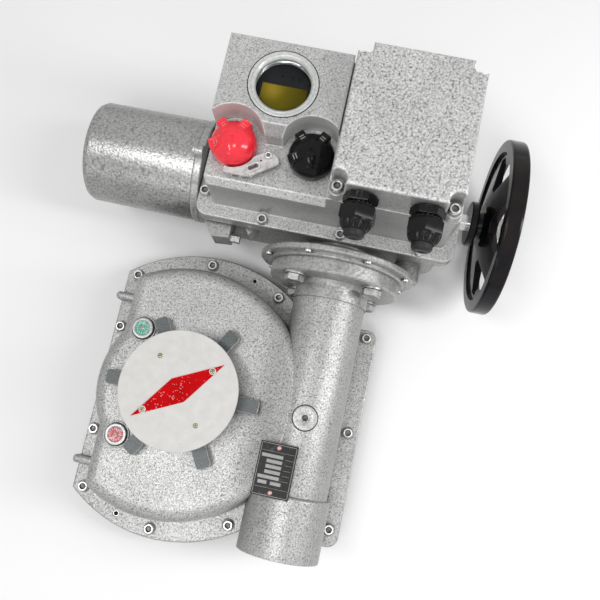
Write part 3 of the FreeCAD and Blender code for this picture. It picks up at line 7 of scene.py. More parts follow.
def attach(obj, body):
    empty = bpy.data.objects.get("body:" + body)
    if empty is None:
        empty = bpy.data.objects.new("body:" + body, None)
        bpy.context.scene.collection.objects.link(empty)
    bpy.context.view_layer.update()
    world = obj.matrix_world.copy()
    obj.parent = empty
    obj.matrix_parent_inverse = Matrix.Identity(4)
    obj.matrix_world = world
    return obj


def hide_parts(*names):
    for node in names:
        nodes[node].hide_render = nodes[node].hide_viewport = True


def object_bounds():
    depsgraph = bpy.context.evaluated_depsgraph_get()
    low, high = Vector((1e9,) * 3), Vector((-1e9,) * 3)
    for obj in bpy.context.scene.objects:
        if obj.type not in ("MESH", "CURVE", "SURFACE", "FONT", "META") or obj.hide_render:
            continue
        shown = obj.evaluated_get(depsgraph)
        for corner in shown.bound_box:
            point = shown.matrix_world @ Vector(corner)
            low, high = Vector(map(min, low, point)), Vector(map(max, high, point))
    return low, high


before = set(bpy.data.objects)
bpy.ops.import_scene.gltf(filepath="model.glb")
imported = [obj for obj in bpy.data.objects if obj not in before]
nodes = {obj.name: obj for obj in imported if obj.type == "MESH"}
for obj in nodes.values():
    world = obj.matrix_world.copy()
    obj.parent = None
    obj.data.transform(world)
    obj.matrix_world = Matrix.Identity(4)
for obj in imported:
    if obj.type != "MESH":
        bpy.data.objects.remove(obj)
cad_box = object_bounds()
mm = 0.001


# Gearbox castings.
# Aluminium sand castings under a silver-grey hammer enamel: pale islands with small darker dimples between
# them, plainer on upright faces with painted shade on them, a painted highlight on every edge and painted
# shade in the corners.
def add_node(tree, kind, settings=None, inputs=None):
    node = tree.nodes.new("ShaderNode" + kind)
    for key, value in (settings or {}).items():
        setattr(node, key, value)
    for key, value in (inputs or {}).items():
        if isinstance(value, bpy.types.NodeSocket):
            tree.links.new(value, node.inputs[key])
        else:
            node.inputs[key].default_value = value
    return node


def object_place(tree):
    return add_node(tree, "TexCoord").outputs["Object"]


def start_material(name):
    material = bpy.data.materials.new(name)
    material.use_nodes = True
    tree = material.node_tree
    return material, tree, tree.nodes["Principled BSDF"], object_place(tree)


def noise(tree, place, scale, detail=2.0, roughness=0.5, distortion=0.0):
    node = add_node(tree, "TexNoise",
                    inputs={"Vector": place, "Scale": scale, "Detail": detail,
                            "Roughness": roughness, "Distortion": distortion})
    return node.outputs["Fac"]


def cells(tree, place, scale, feature="F1"):
    node = add_node(tree, "TexVoronoi", {"feature": feature}, {"Vector": place, "Scale": scale})
    return node.outputs["Distance"]


def grey(value):
    return (value, value, value)


def ramp(tree, factor, stops):
    """Colour ramp; each stop is a position with a colour, or with one number for a grey."""
    node = add_node(tree, "ValToRGB", inputs={"Fac": factor})
    elements = node.color_ramp.elements
    while len(elements) < len(stops):
        elements.new(0.5)
    for element, (position, tone) in zip(elements, stops):
        element.position = position
        element.color = (*(tone if isinstance(tone, tuple) else grey(tone)), 1.0)
    return node.outputs["Color"]


def shade(colour, amount):
    return tuple(min(1.0, amount * c) for c in colour)


def spread(tree, factor, low, high, start=0.0, end=1.0):
    node = add_node(tree, "MapRange", inputs={"Value": factor, "From Min": start, "From Max": end,
                                              "To Min": low, "To Max": high})
    return node.outputs["Result"]


def count(tree, operation, first, second=0.0):
    return add_node(tree, "Math", {"operation": operation}, {0: first, 1: second}).outputs[0]


def times(tree, first, second):
    return count(tree, "MULTIPLY", first, second)


def mixed(tree, factor, first, second, blend="MIX"):
    node = add_node(tree, "Mix", {"data_type": "RGBA", "blend_type": blend})
    for place, value in ((0, factor), (6, first), (7, second)):
        if isinstance(value, bpy.types.NodeSocket):
            tree.links.new(value, node.inputs[place])
        else:
            node.inputs[place].default_value = (*value, 1.0) if place else value
    return node.outputs[2]


def darkened(tree, base, mask):
    return mixed(tree, 1.0, base, mask, "MULTIPLY")


def soft_corners(tree, radius):
    """Rounded edges for the light, and a mask that is 1 on them. The radius is in mm, as all lengths are."""
    rounded = add_node(tree, "Bevel", {"samples": 4}, {"Radius": radius * mm}).outputs["Normal"]
    flat = add_node(tree, "NewGeometry").outputs["Normal"]
    same = add_node(tree, "VectorMath", {"operation": "DOT_PRODUCT"}, {0: rounded, 1: flat})
    return rounded, spread(tree, same.outputs["Value"], 1.0, 0.0, 0.86, 0.99)


# Painted shade: a darker colour where nearby faces hide the light, in corners, creases and joints.
def painted_corner_shade(tree, reach, darkest, unshaded_from=0.8):
    hidden = add_node(tree, "AmbientOcclusion", {"samples": 4}, {"Distance": reach * mm}).outputs["AO"]
    return ramp(tree, hidden, [(0.1, darkest), (unshaded_from, 1.0)])


def dress(tree, shader, base, rough, metal=0.0, gloss=0.5):
    """Colour and roughness follow patterns; metal and gloss are constants on their sockets."""
    tree.links.new(base, shader.inputs["Base Color"])
    tree.links.new(rough, shader.inputs["Roughness"])
    shader.inputs["Metallic"].default_value = metal
    shader.inputs["Specular IOR Level"].default_value = gloss


def bumped(tree, shader, height, strength, distance, normal=None):
    inputs = {"Height": height, "Strength": strength, "Distance": distance * mm}
    if normal is not None:
        inputs["Normal"] = normal
    bump = add_node(tree, "Bump", inputs=inputs)
    tree.links.new(bump.outputs["Normal"], shader.inputs["Normal"])


def finish_nodes(material, *names):
    for name in names:
        mesh = nodes[name].data
        mesh.materials.clear()
        mesh.materials.append(material)


def above(tree, value, low):
    return count(tree, "GREATER_THAN", value, low * mm)


def inside(tree, value, low, high):
    return times(tree, above(tree, value, low), count(tree, "LESS_THAN", value, high * mm))


def split_place(tree, place):
    return add_node(tree, "SeparateXYZ", inputs={0: place}).outputs


def plan_distance(tree, x, y, middle):
    """Distance, seen from above, from an upright axis whose place is given in mm."""
    flat = add_node(tree, "CombineXYZ", inputs={0: count(tree, "SUBTRACT", x, middle[0] * mm),
                                                1: count(tree, "SUBTRACT", y, middle[1] * mm)})
    return add_node(tree, "VectorMath", {"operation": "LENGTH"}, {0: flat.outputs[0]}).outputs["Value"]


def gearbox_marks(tree, base, place, grain, edge):
    """Painted shade close in the joints, worn grey tops on the ribs of the hub, and the groove round the
    grease plug.
    """
    base = darkened(tree, base, painted_corner_shade(tree, 2.5, 0.15, 0.62))
    x, y, z = split_place(tree, place)
    tops = times(tree, above(tree, z, rib_top),
                 inside(tree, plan_distance(tree, x, y, (0.0, 0.0)), -1.0, rib_end))
    tops = times(tree, tops, count(tree, "SUBTRACT", 1.0, edge))
    base = mixed(tree, tops, base,
                 ramp(tree, grain, [(0.35, (0.055, 0.062, 0.062)), (0.65, (0.105, 0.115, 0.115))]))
    groove = times(tree, inside(tree, plan_distance(tree, x, y, (tube_x, 0.0)), 11.0, 12.0),
                   above(tree, z, 111.0))
    return mixed(tree, groove, base, grey(0.045))


def hammer_enamel(name, ground, islands, contrast, depth, shade_darkest=0.6, corner=1.3, on_gearbox=False):
    material, tree, shader, place = start_material(name)
    rounded, edge = soft_corners(tree, corner)
    drift = noise(tree, place, 420.0, 2.0)
    bent = add_node(tree, "VectorMath", {"operation": "MULTIPLY_ADD"},
                    {0: grey(0.0024), 1: drift, 2: place}).outputs["Vector"]
    islets = cells(tree, bent, islands, "SMOOTH_F1")
    grain = noise(tree, place, 0.8 * islands, 2.5, 0.6, 1.2)
    pattern = count(tree, "ADD", times(tree, islets, 0.5), times(tree, grain, 0.66))
    facing = split_place(tree, add_node(tree, "TexCoord").outputs["Normal"])["Z"]
    speckle = ramp(tree, pattern, [(0.40, shade(ground, 1.0 + 0.55 * contrast)), (0.54, ground),
                                   (0.63, shade(ground, 1.0 - 0.4 * contrast)),
                                   (0.74, shade(ground, 1.0 - contrast))])
    # Upright faces take a plainer colour, darker than the tops: plainer as their enamel is, darker as painted
    # shade.
    base = mixed(tree, spread(tree, facing, 0.4, 1.0, 0.3, 0.9), shade(ground, 0.74), speckle)
    base = darkened(tree, base, ramp(tree, noise(tree, place, 22.0, 3.0), [(0.32, 0.88), (0.68, 1.03)]))
    # Painted highlight on the rounded edges.
    base = mixed(tree, times(tree, edge, 0.75), base, shade(ground, 1.75))
    # Painted shade in the corners.
    base = darkened(tree, base, painted_corner_shade(tree, 8.0, shade_darkest))
    if on_gearbox:
        base = gearbox_marks(tree, base, place, grain, edge)
    dress(tree, shader, base, spread(tree, grain, 0.30, 0.45, 0.3, 0.7), 0.38, 0.35)
    relief = times(tree, pattern, spread(tree, facing, 0.5, 1.0, 0.3, 0.9))
    bumped(tree, shader, relief, 0.5, depth, rounded)
    return material


rib_top, rib_end = 107.8, 73.0
tube_x, tube_z, tube_radius = 114.5, 80.0, 34.4
gearbox_enamel = hammer_enamel("gearbox_hammer_enamel", (0.375, 0.375, 0.37), 860.0, 0.62, -0.4, 0.42,
                               on_gearbox=True)
finish_nodes(gearbox_enamel, "gearbox_housing", "base_plate")


# Cast ramp between the wheel case and the worm tube.
# The roof of the wheel case rises gently to the crown of the tube and keeps its rounded, circular edge,
# so a narrow valley is left only near the input flange; cast in one with the housing.
def keep_mesh(name, bench, sharp=38.0, recalculate=True):
    bmesh.ops.remove_doubles(bench, verts=bench.verts, dist=0.001 * mm)
    if recalculate:
        bmesh.ops.recalc_face_normals(bench, faces=bench.faces)
    mesh = bpy.data.meshes.new(name)
    bench.to_mesh(mesh)
    bench.free()
    mesh.shade_smooth()
    mesh.set_sharp_from_angle(angle=math.radians(sharp))
    return mesh


def put(data, name):
    thing = bpy.data.objects.new(name, data)
    bpy.context.scene.collection.objects.link(thing)
    return thing


def stand(mesh, material, slot, *replaced, body="case"):
    """A finished piece from its mesh, riding on its body."""
    mesh.materials.append(material)
    piece = put(mesh, mesh.name)
    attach(piece, body)
    if replaced:
        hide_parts(*replaced)
    return piece


roof_z, sink = 97.0, 0.25
bend_from, slope_from, tube_from = 46.0, 78.8, 102.0
bend_radius, slope, slope_foot = 90.8, 0.388, 63.0
case_x, case_radius, edge_round, skirt_z = -8.0, 106.5, 12.1, 83.5


def ramp_height(x):
    """Height of the roof and its ramp at a distance x from the output axis, in mm."""
    if x < bend_from:
        return roof_z - sink
    if x < slope_from:
        rise = bend_radius - math.sqrt(bend_radius ** 2 - (x - bend_from) ** 2)
        return roof_z + rise - sink * max(0.0, 1 - (x - bend_from) / 6)
    if x < tube_from:
        return roof_z + slope * (x - slope_foot)
    return tube_z + math.sqrt(tube_radius ** 2 - (x - tube_x) ** 2)


bench = bmesh.new()
bmesh.ops.create_grid(bench, x_segments=50, y_segments=80, size=0.5)
for vert in bench.verts:
    along, turn = vert.co.x + 0.5, math.radians(125.0 * vert.co.y)
    start = min((bend_from - case_x) / math.cos(turn), 105.0)
    dive = math.radians(90.0 * min(1.0, max(0.0, (along - 0.5) / 0.4)))
    if along > 0.5:
        reach = case_radius + edge_round * math.sin(dive)
    else:
        reach = start + (case_radius - start) * along / 0.5
    x = reach * math.cos(turn) + case_x
    z = ramp_height(x) - edge_round * (1.0 - math.cos(dive))
    if along > 0.9:
        z += (skirt_z - z) * (along - 0.9) / 0.1
    if along > 0.99:
        reach -= 0.8
    vert.co = Vector((x, reach * math.sin(turn), z)) * mm
bmesh.ops.recalc_face_normals(bench, faces=bench.faces)
bmesh.ops.solidify(bench, geom=bench.faces[:], thickness=1.2 * mm)
stand(keep_mesh("cast_roof_ramp", bench, 50.0), gearbox_enamel, "cast_paint")


# Gaskets of the gearbox, the head and the terminal box.
# Pressed fibre sheet, brown-grey, cut to the shape of the flanges that clamp it.
def stretched(tree, place, scale, location=(0.0, 0.0, 0.0)):
    """Object coordinates moved and scaled, so that a pattern is centred on a piece or drawn out along it."""
    inputs = {"Vector": place, "Scale": scale, "Location": location}
    return add_node(tree, "Mapping", inputs=inputs).outputs["Vector"]


def gasket_sheet():
    material, tree, shader, place = start_material("gasket_fibre")
    fibres = noise(tree, stretched(tree, place, (1.0, 0.25, 1.0)), 1900.0, 4.0, 0.7, 1.2)
    base = ramp(tree, fibres, [(0.3, (0.045, 0.037, 0.03)), (0.55, (0.10, 0.085, 0.068)),
                               (0.75, (0.19, 0.165, 0.135))])
    dress(tree, shader, base, spread(tree, fibres, 0.75, 0.95))
    bumped(tree, shader, fibres, 0.4, 0.15)
    return material


finish_nodes(gasket_sheet(), "base_gasket", "control_gasket", "terminal_gasket")


# Cap screws round the gearbox rim, with the two spring dowel pins.
# M6 socket screws, bright zinc on steel: a knurled head, a chamfered top and a hexagon socket. The same
# screws, and smaller ones like them, hold the covers of the head.
def bright_zinc(name, tone, smear=0.5, metal=0.85):
    material, tree, shader, place = start_material(name)
    patches = noise(tree, place, 260.0, 3.0, 0.6)
    grain = noise(tree, place, 2400.0, 2.0)
    base = ramp(tree, patches, [(0.3, shade(tone, 0.72)), (0.6, tone), (0.78, shade(tone, 1.12))])
    # Painted shade in the corners round the heads.
    base = darkened(tree, base, painted_corner_shade(tree, 4.0, 0.02, 0.72))
    dress(tree, shader, base, spread(tree, patches, 0.22, 0.22 + 0.4 * smear, 0.3, 0.7), metal)
    bumped(tree, shader, grain, 0.12, 0.1, soft_corners(tree, 0.35)[0])
    return material


def hex_ring(flat):
    return lambda angle: flat / 2 / math.cos(angle % (math.pi / 3) - math.pi / 6)


def wavy_ring(radius, depth, waves):
    return lambda angle: radius - depth * (0.5 + 0.5 * math.cos(angle * waves))


def unique(items):
    return list(dict.fromkeys(items))


def stack_rings(bench, segments, rings, ends="both"):
    """Ring after ring extruded from a circle, each a radius or a shape with its height, in mm."""
    circle = bmesh.ops.create_circle(bench, segments=segments, radius=1.0, cap_ends=False)["verts"]
    edges = unique(edge for vert in circle for edge in vert.link_edges)
    foot = edges
    for step, (shape, height) in enumerate(rings):
        verts = circle
        if step:
            grown = bmesh.ops.extrude_edge_only(bench, edges=edges)["geom"]
            verts = [item for item in grown if isinstance(item, bmesh.types.BMVert)]
            edges = [item for item in grown if isinstance(item, bmesh.types.BMEdge) and item.is_boundary]
        for vert in verts:
            angle = math.atan2(vert.co.y, vert.co.x)
            reach = (shape(angle) if callable(shape) else shape) * mm
            vert.co = (reach * math.cos(angle), reach * math.sin(angle), height * mm)
    if ends != "open":
        bmesh.ops.edgeloop_fill(bench, edges=edges)
    if ends == "both":
        bmesh.ops.edgeloop_fill(bench, edges=foot)


def turned(segments, rings, sharp=38.0, ends="both"):
    """Pattern of a piece about its own axis; closed at both its ends, only at the top, or open at both."""
    bench = bmesh.new()
    stack_rings(bench, segments, rings, ends)
    return keep_mesh("pattern", bench, sharp)


def stand_copies(name, pattern, places, material, slot, *replaced, body="case", sharp=38.0):
    """One piece of as many copies of a pattern as there are placing matrices."""
    bench = bmesh.new()
    for place in places:
        before = len(bench.verts)
        bench.from_mesh(pattern)
        bench.verts.ensure_lookup_table()
        bmesh.ops.transform(bench, matrix=place, verts=bench.verts[before:])
    return stand(keep_mesh(name, bench, sharp, recalculate=False), material, slot, *replaced, body=body)


def at(x, y, z, turn=None):
    move = Matrix.Translation(Vector((x, y, z)) * mm)
    return move @ turn if turn else move


def turn_z(angle):
    return Matrix.Rotation(angle, 4, "Z")


def cap_screw(radius, height, key, length, shank):
    bench = bmesh.new()
    stack_rings(bench, 60, [
        (shank * 0.8, -length), (shank, 0.8 - length), (shank, 0.0), (radius * 0.97, 0.0),
        (wavy_ring(radius, 0.04 * radius, 30), 0.08 * height),
        (wavy_ring(radius, 0.05 * radius, 30), 0.80 * height), (radius * 0.95, 0.87 * height),
        (radius * 0.84, height), (key * 0.64, height), (key * 0.60, 0.96 * height),
        (hex_ring(key), 0.90 * height), (hex_ring(key), 0.5 * height), (key * 0.12, 0.44 * height)])
    # Faces down in the socket take the second material, a painted shade.
    for face in bench.faces:
        middle = face.calc_center_median()
        if middle.xy.length < key * 0.6 * mm and 0 < middle.z < 0.94 * height * mm:
            face.material_index = 1
    return keep_mesh("pattern", bench, 30.0)


def stand_screws(name, pattern, places, *replaced):
    """Socket screws: bright heads, with a dark material down in the sockets as painted shade."""
    screws = stand_copies(name, pattern, places, bright_screw, "zinc_steel", *replaced)
    screws.data.materials.append(painted_socket_shade)


bright_screw = bright_zinc("bright_screw_zinc", (0.66, 0.66, 0.65))
# A dark copy of the zinc for the socket faces: painted shade down in the sockets.
painted_socket_shade = bright_zinc("painted_socket_shade", (0.20, 0.195, 0.19), 0.8, 0.7)
rim_z = 37.0
rim_screw_places = [(61.47, 114.70), (-12.91, 134.01), (-86.44, 108.76), (61.47, -114.70), (-12.91, -134.01),
                    (-86.44, -108.76), (-91.0, 52.7), (-91.0, -52.7), (157.7, -98.0), (157.7, -4.3),
                    (157.7, 92.1)]
stand_screws("rim_cap_screws", cap_screw(5.0, 6.0, 5.0, 22.0, 3.0),
             [at(x, y, rim_z, turn_z(0.7 * n)) for n, (x, y) in enumerate(rim_screw_places)], "rim_screws")
finish_nodes(bright_screw, "dowel_pins")


# Press marks round the rim screws.
# A thin bright ring that the screw head has pressed into the enamel of the rim.
press_mark = turned(40, [(6.3, 0.0), (6.0, 0.15), (5.2, 0.18), (3.1, 0.18)], 20.0, "top")
worn_paint = bright_zinc("worn_paint_ring", (0.24, 0.24, 0.235), 1.0, 0.3)
stand_copies("rim_press_marks", press_mark, [at(x, y, rim_z) for x, y in rim_screw_places], worn_paint,
             "cast_paint")


# Worm with its bearings, and the other turned shafts, caps and bushes of steel.
# Ground alloy steel with turning marks round the axis and thin stains of oil; chromed bearing rings.
def turned_steel(name, tone, axis, roughness=0.28):
    material, tree, shader, place = start_material(name)
    scale = {"X": (1.0, 0.03, 0.03), "Y": (0.03, 1.0, 0.03), "Z": (0.03, 0.03, 1.0)}[axis]
    marks = noise(tree, stretched(tree, place, scale), 2600.0, 3.0, 0.6)
    oil = noise(tree, place, 70.0, 3.0)
    base = mixed(tree, ramp(tree, oil, [(0.4, 0.0), (0.75, 0.5)]),
                 ramp(tree, marks, [(0.3, shade(tone, 0.8)), (0.7, tone)]), shade(tone, 0.5))
    dress(tree, shader, base, spread(tree, marks, roughness - 0.08, roughness + 0.12), 1.0)
    bumped(tree, shader, marks, 0.25, 0.05, soft_corners(tree, 0.3)[0])
    return material


for name, tone, axis, roughness, *steel_nodes in (
        ("worm_steel", (0.56, 0.55, 0.53), "Y", 0.28, "worm", "drive_sleeve"),
        ("bearing_rings", (0.70, 0.70, 0.69), "Y", 0.16, "worm_bearings"),
        ("motor_bearing_rings", (0.70, 0.70, 0.69), "X", 0.16, "motor_bearings"),
        ("tail_cap_steel", (0.36, 0.36, 0.35), "Y", 0.4, "tail_cap"),
        ("handwheel_shaft_steel", (0.62, 0.62, 0.61), "X", 0.2, "handwheel_shaft"),
        ("stem_bush_steel", (0.40, 0.39, 0.38), "Z", 0.35, "stem_bush")):
    finish_nodes(turned_steel(name, tone, axis, roughness), *steel_nodes)


# Worm wheel, crown wheel, pinions and bushes.
# The segment is dark spheroidal iron with machined teeth, the small gears are steel and the plain bushes
# leaded bronze.
def cast_iron(name, tone, metal=0.8):
    material, tree, shader, place = start_material(name)
    skin = noise(tree, place, 700.0, 4.0, 0.65)
    stain = noise(tree, place, 55.0, 3.0)
    base = mixed(tree, ramp(tree, stain, [(0.42, 0.0), (0.7, 0.6)]),
                 ramp(tree, skin, [(0.3, shade(tone, 0.7)), (0.7, shade(tone, 1.2))]), (0.16, 0.12, 0.085))
    dress(tree, shader, base, spread(tree, skin, 0.4, 0.65), metal)
    bumped(tree, shader, skin, 0.35, 0.25, soft_corners(tree, 0.5)[0])
    return material


finish_nodes(cast_iron("worm_wheel_iron", (0.26, 0.255, 0.25)), "worm_wheel")
finish_nodes(cast_iron("gear_steel", (0.40, 0.39, 0.38), 1.0), "crown_wheel", "motor_pinion", "hand_pinion")
bush_bronze = turned_steel("bush_bronze", (0.62, 0.40, 0.16), "Z", 0.3)
finish_nodes(bush_bronze, "wheel_bushes", "sleeve_bushes", "handwheel_bush")


# Grease plug on top of the worm tube.
# A low plug enamelled together with the tube, sunk in a spot face, with a small hexagon socket.
plug = turned(72, [
    (9.9, -6.0), (9.9, -1.2), (11.0, -1.2), (11.0, 0.5), (10.7, 0.9), (10.2, 1.0), (4.6, 1.0), (4.2, 0.7),
    (3.4, 0.7), (hex_ring(5.2), 0.4), (hex_ring(5.2), -3.6), (0.8, -4.2)], 32.0)
plug_enamel = hammer_enamel("grease_plug_enamel", (0.42, 0.42, 0.415), 860.0, 0.5, -0.3, 0.02)
stand_copies("grease_plug_cap", plug, [at(tube_x, 0.0, 114.5)], plug_enamel, "zinc_steel", "grease_plug")


# Position disc on its turned cap.
# An aluminium cap carries a matt white plastic disc; two small olive screws hold the disc.
def dial_white():
    material, tree, shader, place = start_material("dial_white")
    mottle = noise(tree, place, 120.0, 4.0, 0.6)
    dust = cells(tree, place, 210.0)
    base = ramp(tree, mottle, [(0.3, (0.545, 0.535, 0.515)), (0.7, (0.625, 0.615, 0.595))])
    base = mixed(tree, ramp(tree, dust, [(0.05, 0.45), (0.12, 0.0)]), base, (0.42, 0.40, 0.37))
    scuff = noise(tree, place, 9.0, 5.0, 0.7, 0.8)
    base = mixed(tree, ramp(tree, scuff, [(0.56, 0.0), (0.66, 0.22)]), base, (0.52, 0.50, 0.50))
    dress(tree, shader, base, spread(tree, mottle, 0.42, 0.6))
    bumped(tree, shader, mottle, 0.12, 0.12, soft_corners(tree, 0.4)[0])
    return material


finish_nodes(dial_white(), "position_disc")
finish_nodes(turned_steel("cap_aluminium", (0.60, 0.60, 0.59), "Z", 0.38), "position_cap")


# Red pointer on the disc.
# Thin red film with many small white chips where the print has worn through.
def chipped_red():
    material, tree, shader, place = start_material("pointer_red_film")
    chips = cells(tree, place, 430.0)
    sizes = noise(tree, place, 150.0, 2.0)
    worn = count(tree, "LESS_THAN", chips, spread(tree, sizes, 0.0, 0.34, 0.30, 0.66))
    tone = ramp(tree, noise(tree, place, 60.0, 3.0),
                [(0.35, (0.42, 0.0, 0.001)), (0.65, (0.54, 0.0005, 0.003))])
    dress(tree, shader, mixed(tree, times(tree, worn, 0.5), tone, (0.70, 0.42, 0.40)),
          spread(tree, sizes, 0.38, 0.55), gloss=0.04)
    bumped(tree, shader, chips, 0.15, 0.05)
    return material


finish_nodes(chipped_red(), "pointer")


# Small screws of the disc and the pointer.
# Olive passivated pan heads with a cross recess; those at the pointer's tips sit in white nylon cups.
def moulded(name, colour, roughness, peel=0.1, gloss=0.5, fleck=0.0):
    material, tree, shader, place = start_material(name)
    haze = noise(tree, place, 90.0, 3.0, 0.6)
    skin = noise(tree, place, 1500.0, 2.0)
    dust = ramp(tree, cells(tree, place, 420.0), [(0.05, fleck), (0.12, 0.0)])
    base = ramp(tree, haze, [(0.3, shade(colour, 0.86)), (0.7, shade(colour, 1.1))])
    dress(tree, shader, mixed(tree, dust, base, grey(0.35)),
          spread(tree, haze, roughness * 0.75, roughness * 1.25, 0.3, 0.7), gloss=gloss)
    bumped(tree, shader, skin, peel, 0.08, soft_corners(tree, 0.35)[0])
    return material


def cross_screw(radius, head, length):
    def recess(angle):
        return radius * (0.20 + 0.34 * abs(math.cos(2 * angle)) ** 3)
    return turned(24, [
        (radius * 0.45, -length), (radius * 0.45, 0.0), (radius * 0.9, 0.0), (radius, 0.3 * head),
        (radius * 0.86, 0.72 * head), (radius * 0.62, 0.95 * head), (radius * 0.3, head),
        (recess, 0.98 * head), (radius * 0.16, 0.3 * head)], 32.0)


olive_zinc = bright_zinc("olive_passivation", (0.30, 0.30, 0.20), 0.8)
disc_top, film_top = 127.0, 127.8
pointer_tips = [(26.50, 22.55), (-26.50, -22.55)]
dial_screw_places = [at(-22.68, 26.65, disc_top), at(22.68, -26.65, disc_top)]
dial_screw_places += [at(x, y, film_top + 0.1) for x, y in pointer_tips]
stand_copies("dial_screws", cross_screw(2.3, 0.9, 8.0), dial_screw_places, olive_zinc, "zinc_steel",
             "indicator_screws", body="output")
cup = turned(32, [(1.3, 0.0), (3.0, 0.0), (3.1, 0.35), (2.8, 0.62), (2.35, 0.62), (2.35, 0.1)], 30.0, "top")
stand_copies("pointer_screw_cups", cup, [at(x, y, film_top) for x, y in pointer_tips],
             moulded("nylon_white", (0.78, 0.77, 0.74), 0.4), "white_plastic", body="output")


# End-position markers, green for open and red for closed.
# A bright rolled rim round a printed label with plain rings and ticks, held by one small screw.
def label_print(name, colour, bare):
    material, tree, shader, place = start_material(name)
    smudge = noise(tree, place, 420.0, 3.0, 0.7)
    dress(tree, shader,
          mixed(tree, ramp(tree, smudge, [(0.48, 0.0), (0.60, bare)]), colour, (0.70, 0.71, 0.70)),
          spread(tree, smudge, 0.3, 0.5))
    bumped(tree, shader, smudge, 0.1, 0.05)
    return material


def block(bench, size, place):
    """A cuboid of the given size in mm, set in its place by a matrix."""
    matrix = place @ Matrix.Diagonal((*(Vector(size) * mm), 1.0))
    return bmesh.ops.create_cube(bench, size=1.0, matrix=matrix)["verts"]


marker_rim_metal = bright_zinc("marker_rim_metal", (0.40, 0.41, 0.40), 0.6, 0.45)
marker_seal_rubber = moulded("marker_seal_rubber", (0.02, 0.02, 0.021), 0.6, 0.3, 0.1)
marker_white = moulded("marker_white_print", (0.74, 0.75, 0.74), 0.4)
marker_x, marker_y, marker_seat = -51.6, 50.0, 98.5
marker_rim = turned(64, [(6.9, 0.2), (9.6, 0.0), (10.0, 0.5), (10.0, 2.2), (9.6, 2.85), (8.9, 3.0),
                         (7.4, 2.9), (6.9, 2.4)], 34.0, "top")
marker_seal = turned(64, [(9.0, -1.2), (10.9, -1.2), (10.9, 0.1), (10.6, 0.4), (9.2, 0.4)], 34.0)
marker_label = turned(48, [(7.0, 1.6), (7.0, 2.42), (1.5, 2.5)], 34.0, "top")
bench = bmesh.new()
for tick in range(16):
    block(bench, (0.55, 2.4 if tick % 4 == 0 else 1.5, 0.12), turn_z(tick * math.pi / 8) @ at(0.0, 5.0, 2.5))
marker_ticks = keep_mesh("pattern", bench)
for word, y, label, colour, bare in (("open", marker_y, "green_label", (0.0, 0.30, 0.20), 0.5),
                                     ("closed", -marker_y, "red_label", (0.52, 0.02, 0.05), 0.75)):
    printed = label_print(word + "_label_print", colour, bare)
    for part, pattern, material, slot, *node in (
            ("rim", marker_rim, marker_rim_metal, "machined_aluminium", word + "_marker"),
            ("seal", marker_seal, marker_seal_rubber, "black_rubber"),
            ("label", marker_label, printed, label), ("ticks", marker_ticks, marker_white, "white_plastic")):
        stand_copies(word + "_marker_" + part, pattern, [at(marker_x, y, marker_seat)], material, slot, *node)
stand_copies("marker_centre_screws", cross_screw(1.7, 0.8, 3.0),
             [at(marker_x, y, marker_seat + 2.55) for y in (marker_y, -marker_y)],
             bright_zinc("marker_screw_copper", (0.55, 0.40, 0.33), 0.6), "zinc_steel", "marker_screws")


# Nameplate on its cast pad.
# Black anodised sheet, left without any lettering: a thin bright border and plain blank fields.
def black_anodised():
    material, tree, shader, place = start_material("black_anodised")
    lines = noise(tree, stretched(tree, place, (0.05, 1.0, 1.0)), 3200.0, 3.0)
    rub = noise(tree, place, 140.0, 4.0, 0.65)
    base = ramp(tree, lines, [(0.3, 0.012), (0.7, 0.035)])
    dress(tree, shader, mixed(tree, ramp(tree, rub, [(0.58, 0.0), (0.70, 0.25)]), base, grey(0.22)),
          spread(tree, lines, 0.3, 0.45), gloss=0.12)
    bumped(tree, shader, lines, 0.1, 0.03, soft_corners(tree, 0.2)[0])
    return material


def plate_strip(bench, left, right, low, high):
    block(bench, (right - left, high - low, 0.12), at((left + right) / 2, (low + high) / 2, plate_face))


finish_nodes(black_anodised(), "nameplate")
plate_left, plate_right, plate_top, plate_foot, plate_face = 81.3, 114.8, -26.3, -73.0, 119.42
border, line, row_pitch, field_height = 0.5, 0.3, 4.6, 3.0
bench = bmesh.new()
left, right, foot, top = plate_left + 1.0, plate_right - 1.0, plate_foot + 1.0, plate_top - 1.0
for low, high, wide in ((foot, top, border), (plate_foot + 7.6, plate_top - 7.6, line)):
    plate_strip(bench, left, right, high - wide, high)
    plate_strip(bench, left, right, low, low + wide)
plate_strip(bench, left, left + border, foot, top)
plate_strip(bench, right - border, right, foot, top)
for row in range(6):
    high = plate_top - 10.2 - row_pitch * row
    low = high - field_height
    fields = [(4.0, 12.0), (15.0, 24.5)] if row == 5 else [(3.0 if row in (0, 4) else 8.0, 22.0)]
    for start, end in fields:
        plate_strip(bench, plate_left + start, plate_left + end, low, high)
    if row < 5:
        plate_strip(bench, plate_left + 24.0, plate_right - 3.0, low, low + line)
etched = bright_zinc("etched_aluminium", (0.24, 0.24, 0.23), 1.0, 0.3)
stand(keep_mesh("plate_blank_fields", bench), etched, "machined_aluminium")
rivet = turned(24, [(1.2, -4.0), (1.2, 0.0), (2.2, 0.0), (2.15, 0.4), (1.7, 0.9), (0.8, 1.2),
                    (0.25, 1.22)], 60.0)
stand_copies("plate_rivets", rivet, [at(98.05, y, 119.4) for y in (-30.3, -69.0)],
             bright_zinc("rivet_copper_tone", (0.50, 0.30, 0.28), 0.7, 0.5), "zinc_steel", "nameplate_rivets")


